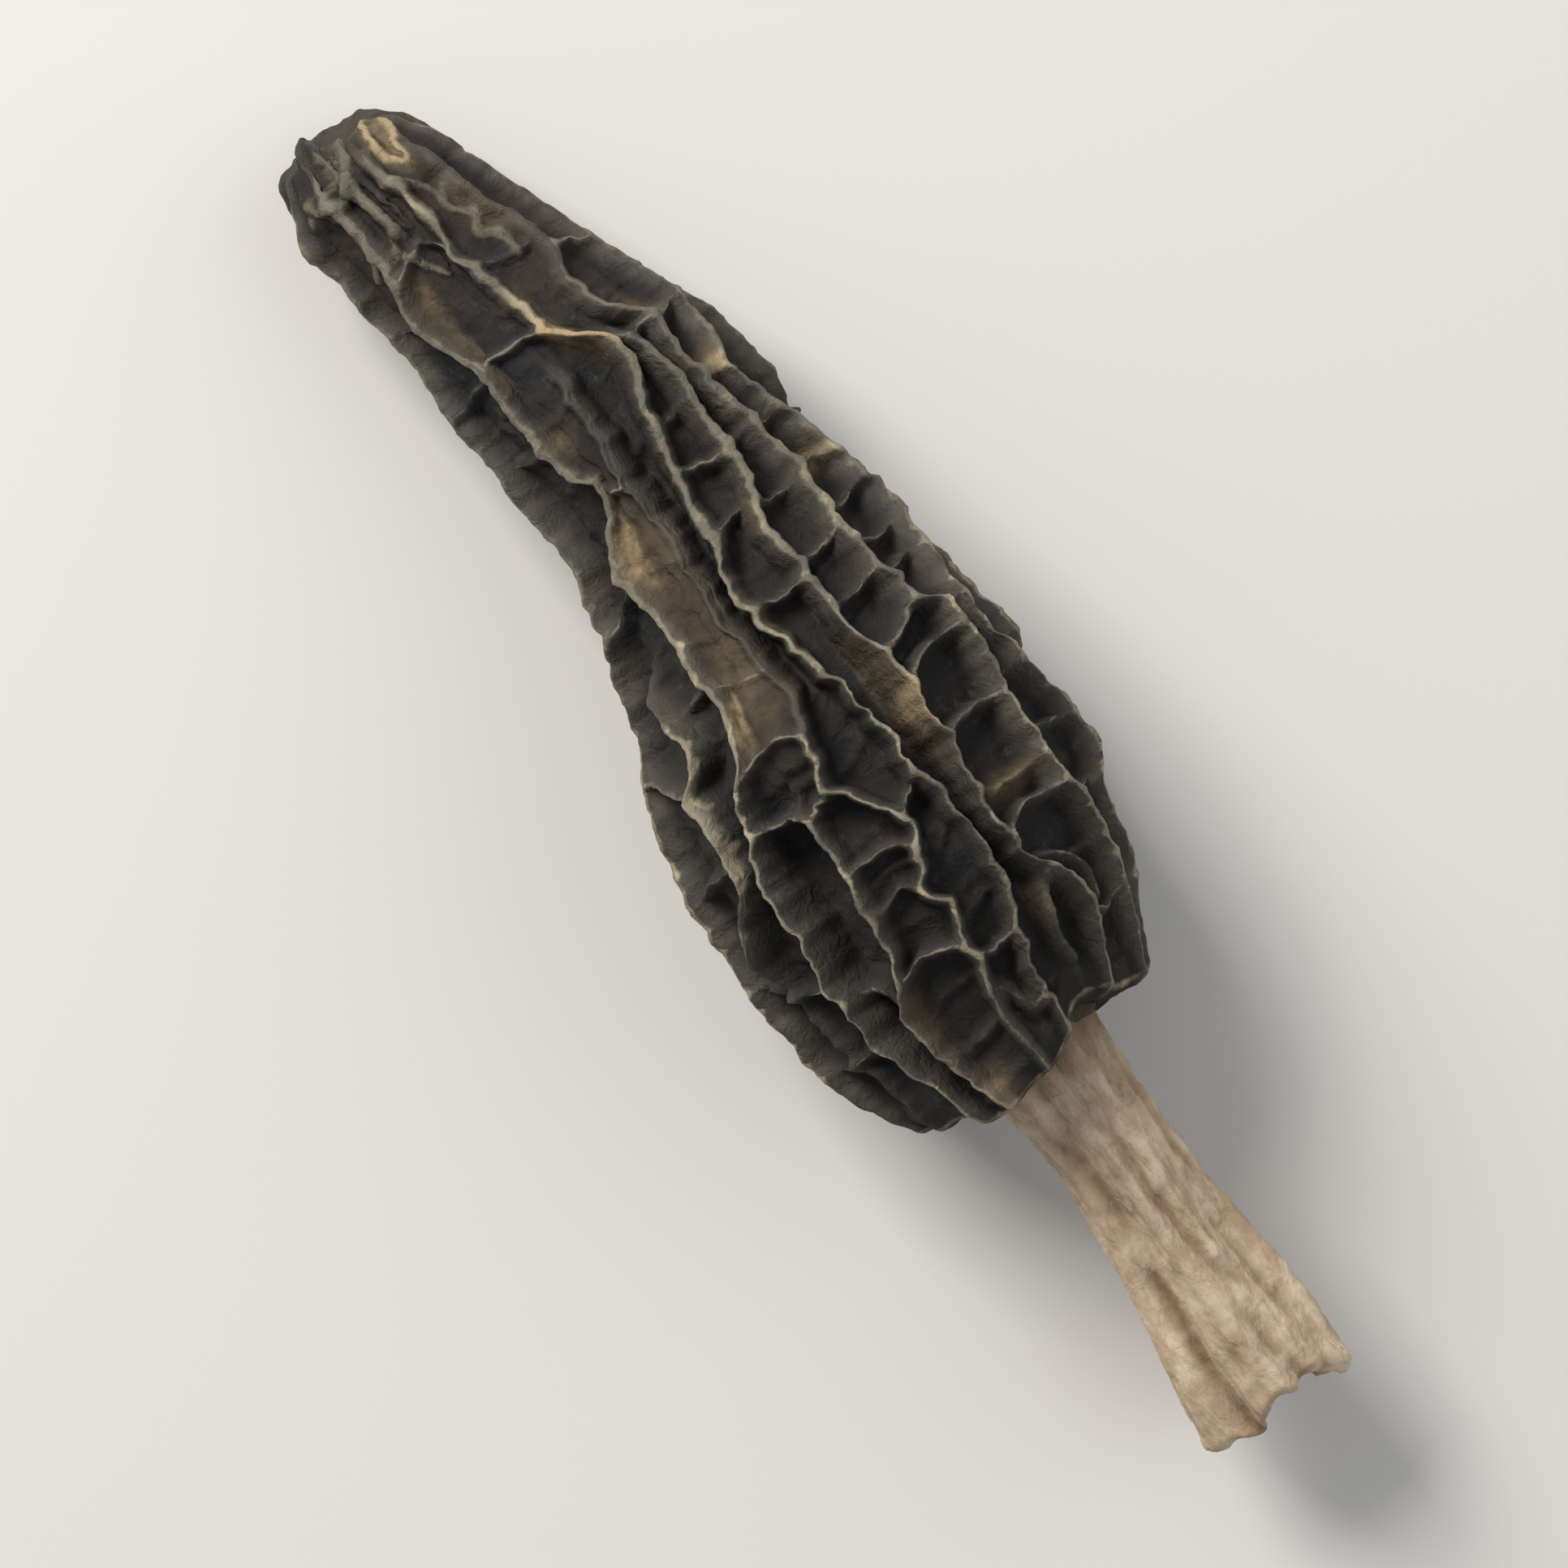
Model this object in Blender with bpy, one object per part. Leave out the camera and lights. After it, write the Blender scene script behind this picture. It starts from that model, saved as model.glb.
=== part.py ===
"""A dried morel mushroom lying on its side, as one closed solid.

A morel's cap and stem grow as one wall of flesh round one hollow, so the mushroom is
one object: a net of long ridges and short cross ribs stands on the cap, the stem
is furrowed, and the hollow opens at the stem's cut end and runs up into the cap.

Lengths in the tables are millimetres. A "place" round the cap counts ridges: it is 3.0 on
ridge number 3 and 3.5 half-way from there to ridge 4. A "reach" is the distance from
the tip towards the cut end, along -X. Angles are degrees from straight up, towards -Y.
"""

import math
import random
from typing import NamedTuple

import bmesh
import bpy
from mathutils import Vector

MM = 0.001

# Where the mushroom lies
TIP_X = 47.3
SIDE_OFFSET = 3.33
SINK = 0.35
FLOOR_Z = 0.0

# The line through the middle of the cap and the stem: (reach, shift towards -Y) and (reach, height)
SPINE_SIDE = (
    (0, 0.0), (5, 0.8), (13.5, 2.8), (19, 4.0), (24, 4.9), (32, 5.2), (40.5, 4.9), (46, 4.0),
    (52, 3.4), (57, 3.3), (62, 2.6), (66, 2.2), (70, 2.3), (76, 2.5), (82, 2.3), (88, 2.0),
    (96, 1.7),
)
SPINE_HEIGHT = (
    (0, 5.6), (5, 6.3), (13.5, 7.0), (20, 7.9), (30, 9.0), (35, 9.9), (40.5, 11.1), (46, 12.2),
    (52, 12.4), (57, 12.6), (62, 12.3), (66, 11.9), (70, 11.5), (78, 10.6), (87, 9.6), (96, 8.4),
)

# Radius over the ridges, from the tip to the cut end: (reach, radius)
TIP_OUTLINE = (
    (0.4, 0.8), (0.1, 1.7), (0.0, 2.6), (0.2, 3.5), (0.9, 4.2), (1.9, 4.8), (3.1, 5.3), (4.5, 5.7),
)
TIP_POLE_REACH = 0.6
TIP_LEAN = 0.38
TIP_LEAN_END = 7.0
# Lobes of the curled tip: (angle, half width in degrees, push forwards)
TIP_LOBES = ((-30, 28, 2.3), (44, 22, 0.9), (120, 26, 0.5), (-120, 34, 0.6), (178, 24, 0.4))
TIP_LOBE_RADIUS = 3.3
CAP_RADIUS = (
    (4.5, 5.7), (7, 6.1), (13.5, 6.9), (19, 8.1), (24.3, 8.7), (29.7, 8.9), (35, 9.85),
    (40.5, 11.1), (45.9, 12.7), (51, 12.9), (56.7, 12.95), (62, 11.95), (66, 10.8), (69, 9.3),
)
CAP_FIRST_REACH = 5.6
CAP_LAST_REACH = 68.4
CAP_ROWS = 58
SKIRT_START = 56.0
SKIRT_WAVES = ((2, 0.9, 0.45), (5, 2.0, 0.35), (9, 0.4, 0.25))
# Lobes of the cap's lower edge: (angle, half width in degrees, shift towards the stem's end)
SKIRT_LOBES = ((-34, 28, 1.7), (36, 26, -1.7))
# The edge overhangs a groove round the top of the stem, which follows it by GROOVE_SHARE
TUCK_OUTLINE = (
    (69.5, 8.8), (70.2, 7.8), (70.1, 6.7), (69.6, 5.6), (69.4, 4.6), (70.4, 3.85),
)
GROOVE_SHARE = 0.3
STEM_RADIUS = ((70.4, 3.8), (72, 3.6), (75, 3.35), (80, 3.35), (86, 3.8), (91, 4.4), (96, 4.8))
STEM_FIRST_REACH = 72.4
STEM_LAST_REACH = 95.0
STEM_ROWS = 11
STEM_FLATNESS = 0.12
LENGTH = 96.0
RIM_OUTLINE = ((95.8, 4.65), (96.0, 4.15), (95.7, 3.7))
HOLLOW_RADIUS = (
    (9.5, 0.9), (12, 2.0), (18, 3.1), (30, 3.8), (42, 4.4), (58, 4.4), (66, 3.2), (72, 2.2),
    (80, 2.1), (86, 2.3), (91, 2.8), (95, 3.35),
)
HOLLOW_FIRST_REACH = 94.0
HOLLOW_LAST_REACH = 9.5
HOLLOW_ROWS = 10
HOLLOW_END_REACH = 9.0

# Columns of the mesh between one ridge and the next, as shares of the way
COLUMN_SHARES = (0.0, 0.15, 0.5, 0.85)
RIDGE_MARGIN = 0.01
CREST_POWER = 4.5
VALLEY_BLEND = 0.1
RUNG_WIDTH = 0.55
RUNG_SAG = 0.25
FULL_DEPTH_RADIUS = 9.5
# How far a rung's end draws the ridge to itself, and over what length
RUNG_PULL = 0.4
PULL_LENGTH = 0.9
# The valleys close towards the cap's lower edge
HEM_START = 65.0
HEM_SHARE = 0.5


class Ridge(NamedTuple):
    """A long ridge: (reach, angle) points of its crest and (reach, share) points of its height."""

    path: tuple
    strength: tuple


class Rung(NamedTuple):
    """A cross rib from one ridge to another.

    start, end: the ridges that it joins; start_reach, end_reach: where it meets them;
    bow: how far its middle lies towards the stem; height: its share of the pit's depth.
    """

    start: int
    end: int
    start_reach: float
    end_reach: float
    bow: float
    height: float


FULL = ((0, 1.0),)

# Ridges that the photograph shows, from its left edge to its right edge
SEEN_RIDGES = (
    Ridge(((0, -78), (12, -77), (24, -80), (32, -71), (38, -86), (43, -92), (56, -90), (70, -88)),
          FULL),
    Ridge(((0, -58), (20, -60), (32, -58), (39, -64), (40.5, -57), (43, -46), (45.5, -50),
           (50.8, -48), (54, -60), (57, -70), (70, -64)),
          ((37, 0.0), (39.5, 0.9), (55, 1.0), (58, 0.5), (66, 0.35))),
    Ridge(((0, -34), (8, -31), (11.3, -45), (14.3, -44), (18, -35), (20.8, -39), (25.5, -36),
           (27.3, -29), (30.2, -41), (32, -43), (38, -35), (45.3, -29), (47, -35), (56, -43),
           (63, -41), (67, -36), (70, -40)),
          FULL),
    Ridge(((0, -13), (8, -12), (14, -27), (22, -27), (32, -27), (40, -22), (47, -22), (51, -20),
           (59, -21), (63, -28), (67, -25), (70, -22)),
          ((7.5, 0.7), (9.5, 0.0), (48.3, 0.0), (50.5, 1.0))),
    Ridge(((0, -3), (8, -3), (14, -13), (20, -9), (22.5, -13), (27, -17), (35, -16), (37.5, -16),
           (40, -12), (44.7, -6.5), (49.5, -9.6), (51.7, -2), (53.5, 3), (56, 0.6), (58, -3.6),
           (59.7, 2.5), (61.4, 0), (70, 0)),
          ((6, 0.4), (8, 0.0), (18, 0.0), (21, 0.7), (44, 0.75), (47, 1.0))),
    Ridge(((0, 9), (7.7, 8), (11.3, 1), (17.4, 3.5), (20.3, 17), (21.9, 17), (23.9, 10),
           (28.6, -2), (33.3, -3.3), (35, -7), (37.5, -9), (41, -3), (46, 8.4), (53, 14),
           (61.8, 18), (66.4, 13.5), (70, 17)),
          FULL),
    Ridge(((0, 26), (8, 25), (14.5, 16), (18, 15), (20.5, 24), (25.5, 25), (31, 22.5),
           (34.6, 14.5), (37.3, 14.7), (42.5, 17.3), (45.5, 21), (51, 24.4), (57, 22.7),
           (59.7, 26.6), (63.9, 43), (70, 48)),
          ((18.5, 0.0), (21, 0.9), (24, 1.0))),
    Ridge(((0, 44), (8, 42), (12, 46), (15.5, 31), (18.2, 28), (20.3, 40), (24.7, 35), (31.2, 41),
           (37, 38), (43.5, 41), (44.7, 50), (50.8, 52), (56.3, 50.4), (62, 64), (70, 72)),
          ((0, 0.8), (14, 0.9), (20, 1.0))),
    Ridge(((0, 78), (10, 76), (20, 68), (25, 50), (27, 52), (31, 65), (37, 70), (44.7, 60),
           (49.3, 65), (54.4, 83), (56.8, 87), (58.8, 73), (63, 82), (70, 94)),
          FULL),
)

# Ridges round the back, which the photograph doesn't show; the third and fourth stand on the floor
HIDDEN_RIDGES = (
    Ridge(((0, 102), (10, 110), (18, 104), (26, 97), (34, 106), (42, 112), (48, 103), (55, 111),
           (62, 104), (70, 112)),
          ((27, 1.0), (31, 0.55), (35, 1.0))),
    Ridge(((0, 138), (8, 130), (16, 126), (24, 134), (30, 142), (38, 136), (46, 127), (53, 137),
           (60, 131), (70, 138)),
          ((12, 1.0), (15, 0.6), (20, 1.0), (54, 1.0), (58, 0.6), (62, 1.0))),
    Ridge(((0, 165), (12, 163), (24, 166), (36, 163), (48, 165), (60, 163), (70, 166)),
          FULL),
    Ridge(((0, 196), (12, 198), (24, 195), (36, 197), (48, 195), (60, 198), (70, 196)),
          FULL),
    Ridge(((0, 222), (9, 230), (17, 222), (25, 216), (33, 226), (41, 232), (49, 222), (56, 217),
           (63, 226), (70, 222)),
          ((38, 1.0), (42, 0.6), (46, 1.0))),
    Ridge(((0, 252), (8, 246), (16, 254), (24, 248), (32, 240), (40, 250), (48, 244), (55, 238),
           (63, 250), (70, 248)),
          ((16, 1.0), (20, 0.6), (24, 1.0), (50, 1.0), (54, 0.6), (58, 1.0))),
)

RIDGES = SEEN_RIDGES + HIDDEN_RIDGES

# Depth of the valley that follows each ridge, before it thins out towards the tip
VALLEY_DEPTHS = (
    ((0, 2.3),),
    ((0, 2.4), (36, 2.4), (44, 2.9)),
    ((0, 2.2), (19, 1.7), (26, 1.1), (45, 1.2), (49, 2.4), (52, 4.0)),
    ((0, 2.2), (19, 1.6), (26, 0.9), (45, 1.0), (49, 2.3)),
    ((0, 2.2), (19, 2.2), (24, 3.2), (50, 3.3), (56, 2.3)),
    ((0, 1.7), (19, 2.0), (24, 2.5), (40, 2.7), (45, 4.2), (57, 4.0), (62, 2.6)),
    ((0, 1.7), (24, 2.0), (34, 2.4)),
    ((0, 2.1), (40, 2.2), (56, 2.0)),
    ((0, 2.4),),
    ((0, 2.4), (20, 2.8), (50, 3.2)),
    ((0, 2.2),),
    ((0, 2.2),),
    ((0, 2.4),),
    ((0, 2.4), (24, 3.0), (50, 3.3)),
    ((0, 2.3),),
)
HIDDEN_VALLEYS = range(8, 15)

SEEN_RUNGS = (
    Rung(0, 2, 11.8, 12.6, 0.3, 0.5),
    Rung(0, 2, 18.2, 17.6, 0.0, 0.6),
    Rung(0, 2, 22.6, 23.2, 0.4, 0.45),
    Rung(0, 2, 35.0, 32.2, 0.0, 0.75),
    Rung(0, 1, 43.0, 45.6, 0.0, 0.9),
    Rung(0, 1, 50.8, 50.4, -0.4, 0.6),
    Rung(0, 2, 56.8, 59.6, 0.3, 0.65),
    Rung(0, 2, 63.8, 63.2, 0.5, 0.5),
    Rung(1, 2, 41.2, 40.2, 0.0, 0.6),
    Rung(1, 2, 52.6, 51.8, 0.4, 0.45),
    Rung(2, 5, 10.2, 10.6, -1.8, 0.8),
    Rung(2, 5, 17.3, 17.6, -0.5, 0.85),
    Rung(2, 4, 22.0, 21.6, 0.5, 0.4),
    Rung(2, 4, 26.8, 27.8, 0.5, 0.9),
    Rung(2, 4, 33.0, 33.6, -0.3, 0.45),
    Rung(2, 4, 37.6, 38.2, 0.5, 0.4),
    Rung(2, 4, 40.8, 41.8, 0.2, 0.7),
    Rung(2, 4, 46.6, 46.4, -1.0, 0.9),
    Rung(2, 3, 49.4, 50.0, 0.0, 0.9),
    Rung(3, 4, 50.6, 49.6, 0.0, 0.95),
    Rung(3, 4, 54.6, 55.4, -0.6, 0.75),
    Rung(3, 4, 57.8, 57.6, -0.7, 0.65),
    Rung(3, 4, 61.4, 61.8, -0.8, 0.85),
    Rung(3, 4, 66.0, 65.6, 0.4, 0.4),
    Rung(4, 5, 53.6, 51.8, 0.0, 0.9),
    Rung(4, 5, 62.4, 62.8, 0.2, 0.8),
    Rung(5, 7, 11.6, 12.2, 0.4, 0.55),
    Rung(5, 7, 20.0, 20.4, 0.4, 0.9),
    Rung(5, 6, 26.0, 25.8, 0.3, 0.5),
    Rung(5, 6, 29.0, 29.9, 0.2, 0.85),
    Rung(5, 6, 33.8, 33.4, -0.4, 0.7),
    Rung(5, 6, 38.5, 38.8, 0.2, 0.85),
    Rung(6, 7, 24.6, 24.2, 0.0, 0.5),
    Rung(6, 7, 29.4, 29.0, 0.3, 0.6),
    Rung(6, 7, 33.2, 33.6, 0.3, 0.7),
    Rung(6, 7, 37.8, 37.2, 0.4, 0.8),
    Rung(6, 7, 41.2, 40.6, 0.3, 0.8),
    Rung(6, 7, 45.2, 43.4, 0.2, 0.9),
    Rung(6, 7, 47.6, 46.4, -0.6, 0.9),
    Rung(6, 7, 51.4, 51.2, -0.6, 0.9),
    Rung(6, 7, 54.8, 55.4, 0.4, 0.6),
    Rung(6, 7, 58.2, 57.6, -0.7, 0.9),
    Rung(6, 7, 61.6, 61.6, -0.4, 0.4),
    Rung(6, 7, 64.4, 64.6, 0.8, 0.8),
    Rung(7, 8, 13.4, 14.2, -0.3, 0.95),
    Rung(7, 8, 20.4, 20.0, 0.3, 0.9),
    Rung(7, 8, 25.0, 25.6, 0.0, 0.7),
    Rung(7, 8, 29.0, 29.4, 0.4, 0.6),
    Rung(7, 8, 33.0, 33.4, -0.3, 0.9),
    Rung(7, 8, 36.2, 35.6, 0.4, 0.7),
    Rung(7, 8, 38.6, 39.0, 0.4, 0.8),
    Rung(7, 8, 41.8, 41.2, -0.3, 0.7),
    Rung(7, 8, 44.9, 44.9, 0.0, 0.95),
    Rung(7, 8, 49.6, 50.2, 0.3, 0.6),
    Rung(7, 8, 54.0, 54.6, -0.3, 0.6),
    Rung(7, 8, 58.6, 58.2, 0.0, 0.7),
    Rung(7, 8, 63.0, 63.4, 0.3, 0.6),
)
RUNG_SEED = 7
FIRST_HIDDEN_RUNG = 8.0
LAST_HIDDEN_RUNG = 65.0
HIDDEN_RUNG_GAPS = (2.9, 6.2)
HIDDEN_RUNG_SLANT = 1.3
ROWS_BETWEEN_RUNGS = 2

# Small unevenness of the crests and the furrows of the stem
CREST_WANDER = 0.9
CREST_UNEVENNESS = 0.16
CREST_WAVELENGTH = 6.5
TIP_CRUMPLE = 0.35
FURROWS = ((2, 0.6, 0.015, 0.07), (5, 1.3, 0.05, 0.075), (9, 2.2, -0.04, 0.035))

FLESH_COLOUR = (0.055, 0.040, 0.028, 1.0)
FLESH_ROUGHNESS = 0.78


def ripple(pattern, x, wavelength):
    """A smooth value between -1 and 1 that wanders along x; pattern picks the phases."""
    turn = 2 * math.pi * x / wavelength
    return (math.sin(turn + 2.4 * pattern) + 0.7 * math.sin(1.73 * turn + 4.1 * pattern)
            + 0.5 * math.sin(2.9 * turn + 1.3 * pattern)) / 2.2


def curve(points, x):
    """The smooth value at x through (place, value) points, level past both ends."""
    if x <= points[0][0]:
        return points[0][1]
    if x >= points[-1][0]:
        return points[-1][1]
    after = next(i for i, point in enumerate(points) if point[0] > x)
    x0, y0 = points[after - 1]
    x1, y1 = points[after]
    slopes = []
    for i in (after - 1, after):
        before = points[max(i - 1, 0)]
        behind = points[min(i + 1, len(points) - 1)]
        slopes.append((behind[1] - before[1]) / (behind[0] - before[0]))
    span = x1 - x0
    u = (x - x0) / span
    return (y0 * (1 + 2 * u) * (1 - u) ** 2 + y1 * u * u * (3 - 2 * u)
            + span * u * (1 - u) * (slopes[0] * (1 - u) - slopes[1] * u))


def hidden_rungs():
    """Rungs for the valleys round the back, by a seeded rule."""
    draw = random.Random(RUNG_SEED)
    rungs = []
    for valley in HIDDEN_VALLEYS:
        reach = FIRST_HIDDEN_RUNG + draw.uniform(0, 3)
        while reach < LAST_HIDDEN_RUNG:
            slant = draw.uniform(-HIDDEN_RUNG_SLANT, HIDDEN_RUNG_SLANT)
            bow = draw.uniform(-0.7, 0.7)
            height = draw.uniform(0.45, 0.95)
            rungs.append(Rung(valley, valley + 1, reach - slant, reach + slant, bow, height))
            reach += draw.uniform(*HIDDEN_RUNG_GAPS)
    return tuple(rungs)


RUNGS = SEEN_RUNGS + hidden_rungs()


def rung_pull(ridge, reach):
    """How far the rungs that end on a ridge draw its crest aside, in degrees."""
    pull = 0.0
    for rung in RUNGS:
        if rung.start % len(RIDGES) == ridge:
            pull += rung.height * math.exp(-abs(reach - rung.start_reach) / PULL_LENGTH)
        if rung.end % len(RIDGES) == ridge:
            pull -= rung.height * math.exp(-abs(reach - rung.end_reach) / PULL_LENGTH)
    return math.degrees(RUNG_PULL * pull / curve(CAP_RADIUS, reach))


def ridge_angle(number, reach):
    """The angle of a ridge at a reach, counted on past the last ridge to the first again."""
    turns, ridge = divmod(number, len(RIDGES))
    wander = CREST_WANDER * ripple(ridge, reach, CREST_WAVELENGTH)
    return curve(RIDGES[ridge].path, reach) + wander + rung_pull(ridge, reach) + 360 * turns


def ridge_strength(number, reach):
    """The share of its full height that a ridge has at a reach."""
    return curve(RIDGES[number % len(RIDGES)].strength, reach)


def angle_at(place, reach):
    """The angle in radians at a place between ridges."""
    first = math.floor(place)
    share = place - first
    start = ridge_angle(first, reach)
    end = ridge_angle(first + 1, reach)
    return math.radians(start + (end - start) * share)


def rung_line(rung, place):
    """The reach of a rung's crest and its height share where it crosses a place."""
    share = (place - rung.start) / (rung.end - rung.start)
    middle = 4 * share * (1 - share)
    reach = rung.start_reach + (rung.end_reach - rung.start_reach) * share + rung.bow * middle
    return reach, rung.height * (1 - RUNG_SAG * middle)


def rungs_across(place):
    """The rungs that cross a place, from the tip down."""
    crossing = [rung for rung in RUNGS if rung.start < place < rung.end]
    return sorted(crossing, key=lambda rung: rung_line(rung, place)[0])


def valley_depth(place, reach):
    """Depth of the valley floor below the crests, blended across a ridge line."""
    first = math.floor(place)
    share = place - first
    count = len(VALLEY_DEPTHS)
    here = curve(VALLEY_DEPTHS[first % count], reach)
    if share < VALLEY_BLEND:
        beside = curve(VALLEY_DEPTHS[(first - 1) % count], reach)
        here += (beside - here) * 0.5 * (1 - share / VALLEY_BLEND)
    elif share > 1 - VALLEY_BLEND:
        beside = curve(VALLEY_DEPTHS[(first + 1) % count], reach)
        here += (beside - here) * 0.5 * (1 - (1 - share) / VALLEY_BLEND)
    radius = curve(CAP_RADIUS, reach)
    return here * min(1.0, radius / FULL_DEPTH_RADIUS) ** 1.3


def crest_shape(share):
    """Height of a ridge's side, 1 on its crest and 0 half-way to the next ridge."""
    return max(0.0, 1 - 2 * share) ** CREST_POWER


def unevenness(first, share, reach):
    """How far the crests sink at a reach, blended from one ridge to the next."""
    here = ripple(first % len(RIDGES) + 5, reach, CREST_WAVELENGTH)
    beyond = ripple((first + 1) % len(RIDGES) + 5, reach, CREST_WAVELENGTH)
    return CREST_UNEVENNESS * (here + (beyond - here) * share)


def relief(place, reach):
    """How far the surface lies below the crests at a place and a reach."""
    first = math.floor(place)
    share = place - first
    crest = max(ridge_strength(first, reach) * crest_shape(share),
                ridge_strength(first + 1, reach) * crest_shape(1 - share))
    rung_share = 0.0
    for rung in rungs_across(place):
        line, height = rung_line(rung, place)
        rung_share = max(rung_share, height * math.exp(-((reach - line) / RUNG_WIDTH) ** 2))
    closed = HEM_SHARE * min(1.0, max(0.0, (reach - HEM_START) / (CAP_LAST_REACH - HEM_START))) ** 2
    valley = valley_depth(place, reach) * (1 - crest) * (1 - rung_share) * (1 - closed)
    return valley + unevenness(first, share, reach)


def furrow_share(angle, reach):
    """The stem's furrows, as a share of its radius."""
    total = STEM_FLATNESS * math.cos(2 * angle + math.pi)
    for folds, phase, twist, size in FURROWS:
        total += size * math.sin(folds * angle + phase + twist * (reach - LENGTH))
    return 1 + total


def tip_shift(angle, reach, radius):
    """How far the tip's lean and lobes move a point along the mushroom."""
    fade = max(0.0, 1 - max(reach, 0.0) / TIP_LEAN_END) ** 2
    shift = TIP_LEAN * radius * math.cos(angle)
    ring = math.exp(-((radius - TIP_LOBE_RADIUS) / 1.6) ** 2)
    for lobe, width, push in TIP_LOBES:
        apart = math.remainder(math.degrees(angle) - lobe, 360)
        shift -= push * ring * math.exp(-(apart / width) ** 2)
    return shift * fade


def skirt_shift(angle, reach):
    """How far the cap's lower edge is drawn down or up at an angle."""
    grown = min(1.0, max(0.0, (reach - SKIRT_START) / (CAP_LAST_REACH - SKIRT_START)))
    shift = 0.0
    for waves, phase, size in SKIRT_WAVES:
        shift += size * math.sin(waves * angle + phase)
    for lobe, width, push in SKIRT_LOBES:
        apart = math.remainder(math.degrees(angle) - lobe, 360)
        shift += push * math.exp(-(apart / width) ** 2)
    return shift * grown * grown


def surface_point(angle, reach, radius):
    """The place in the world of a point round the middle line."""
    side = curve(SPINE_SIDE, reach) + radius * math.sin(angle) - SIDE_OFFSET
    height = curve(SPINE_HEIGHT, reach) + radius * math.cos(angle) - SINK
    return Vector((TIP_X - reach, -side, height)) * MM


def cap_reaches():
    """The reach of each row of the cap, before the rungs draw it to themselves."""
    step = (CAP_LAST_REACH - CAP_FIRST_REACH) / (CAP_ROWS - 1)
    return [CAP_FIRST_REACH + step * row for row in range(CAP_ROWS)]


def rung_rows(reaches):
    """The row of the mesh that each rung's crest takes, kept apart from its neighbours."""
    step = reaches[1] - reaches[0]
    rows = {}
    ordered = sorted(RUNGS, key=lambda rung: rung.start_reach + rung.end_reach + 2 * rung.bow)
    for rung in ordered:
        middle = rung_line(rung, (rung.start + rung.end) / 2)[0]
        row = round((middle - reaches[0]) / step)
        for other, taken in rows.items():
            if other.start < rung.end and rung.start < other.end:
                row = max(row, taken + ROWS_BETWEEN_RUNGS)
        rows[rung] = row
    return rows


def ridge_reaches(ridge, reaches, rows):
    """The reaches down a ridge's own column, half-way between those of its two sides."""
    before = column_reaches((ridge - RIDGE_MARGIN) % len(RIDGES), reaches, rows)
    after = column_reaches(ridge + RIDGE_MARGIN, reaches, rows)
    return [(one + other) / 2 for one, other in zip(before, after)]


def column_reaches(place, reaches, rows):
    """The reaches of one column's vertices, with a vertex on each rung that it meets."""
    if place == math.floor(place):
        return ridge_reaches(place, reaches, rows)
    anchors = [(0, reaches[0])]
    for rung in rungs_across(place):
        line = rung_line(rung, place)[0]
        if anchors[-1][0] < rows[rung] < len(reaches) - 1 and line > anchors[-1][1]:
            anchors.append((rows[rung], line))
    anchors.append((len(reaches) - 1, reaches[-1]))
    column = []
    for row in range(len(reaches)):
        after = next(i for i, anchor in enumerate(anchors) if anchor[0] >= row and i > 0)
        row0, reach0 = anchors[after - 1]
        row1, reach1 = anchors[after]
        column.append(reach0 + (reach1 - reach0) * (row - row0) / (row1 - row0))
    return column


def tip_column(place):
    """Points of one column over the crumpled tip, from the pole down."""
    points = []
    for reach, radius in TIP_OUTLINE:
        angle = angle_at(place, reach)
        share = radius / TIP_OUTLINE[-1][1]
        crumple = TIP_CRUMPLE * share * math.sin(3 * angle + 1.0 + reach)
        low = relief(place, reach) * share ** 3
        moved = reach + tip_shift(angle, reach, radius)
        points.append(surface_point(angle, moved, radius + crumple - low))
    return points


def cap_column(place, reaches, rows):
    """Points of one column over the cap."""
    points = []
    for reach in column_reaches(place, reaches, rows):
        radius = curve(CAP_RADIUS, reach) - relief(place, reach)
        angle = angle_at(place, reach)
        moved = reach + tip_shift(angle, reach, radius) + skirt_shift(angle, reach)
        points.append(surface_point(angle, moved, radius))
    return points


def tuck_column(place):
    """Points of one column where the cap turns in to the stem."""
    points = []
    outer = TUCK_OUTLINE[0][1]
    inner = TUCK_OUTLINE[-1][1]
    for reach, radius in TUCK_OUTLINE:
        share = (radius - inner) / (outer - inner)
        angle = angle_at(place, CAP_LAST_REACH)
        low = relief(place, CAP_LAST_REACH) * share * 0.8
        round_stem = radius * (1 + (furrow_share(angle, reach) - 1) * (1 - share))
        drawn = GROOVE_SHARE + (1 - GROOVE_SHARE) * share
        moved = reach + skirt_shift(angle, CAP_LAST_REACH) * drawn
        points.append(surface_point(angle, moved, round_stem - low))
    return points


def evenly(first, last, count):
    """Evenly spaced values from first to last."""
    return [first + (last - first) * i / (count - 1) for i in range(count)]


def stem_column(place):
    """Points of one column down the outside of the stem and over its cut rim."""
    angle = angle_at(place, CAP_LAST_REACH)
    rings = [(reach, curve(STEM_RADIUS, reach))
             for reach in evenly(STEM_FIRST_REACH, STEM_LAST_REACH, STEM_ROWS)]
    rings.extend(RIM_OUTLINE)
    return [surface_point(angle, reach, radius * furrow_share(angle, reach))
            for reach, radius in rings]


def hollow_column(place):
    """Points of one column up the wall of the hollow, from the mouth to its blind end."""
    points = []
    angle = angle_at(place, CAP_LAST_REACH)
    for reach in evenly(HOLLOW_FIRST_REACH, HOLLOW_LAST_REACH, HOLLOW_ROWS):
        follow = min(1.0, max(0.0, (reach - 60) / 15))
        folded = 1 + (furrow_share(angle, reach) - 1) * follow
        points.append(surface_point(angle, reach, curve(HOLLOW_RADIUS, reach) * folded))
    return points


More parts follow.
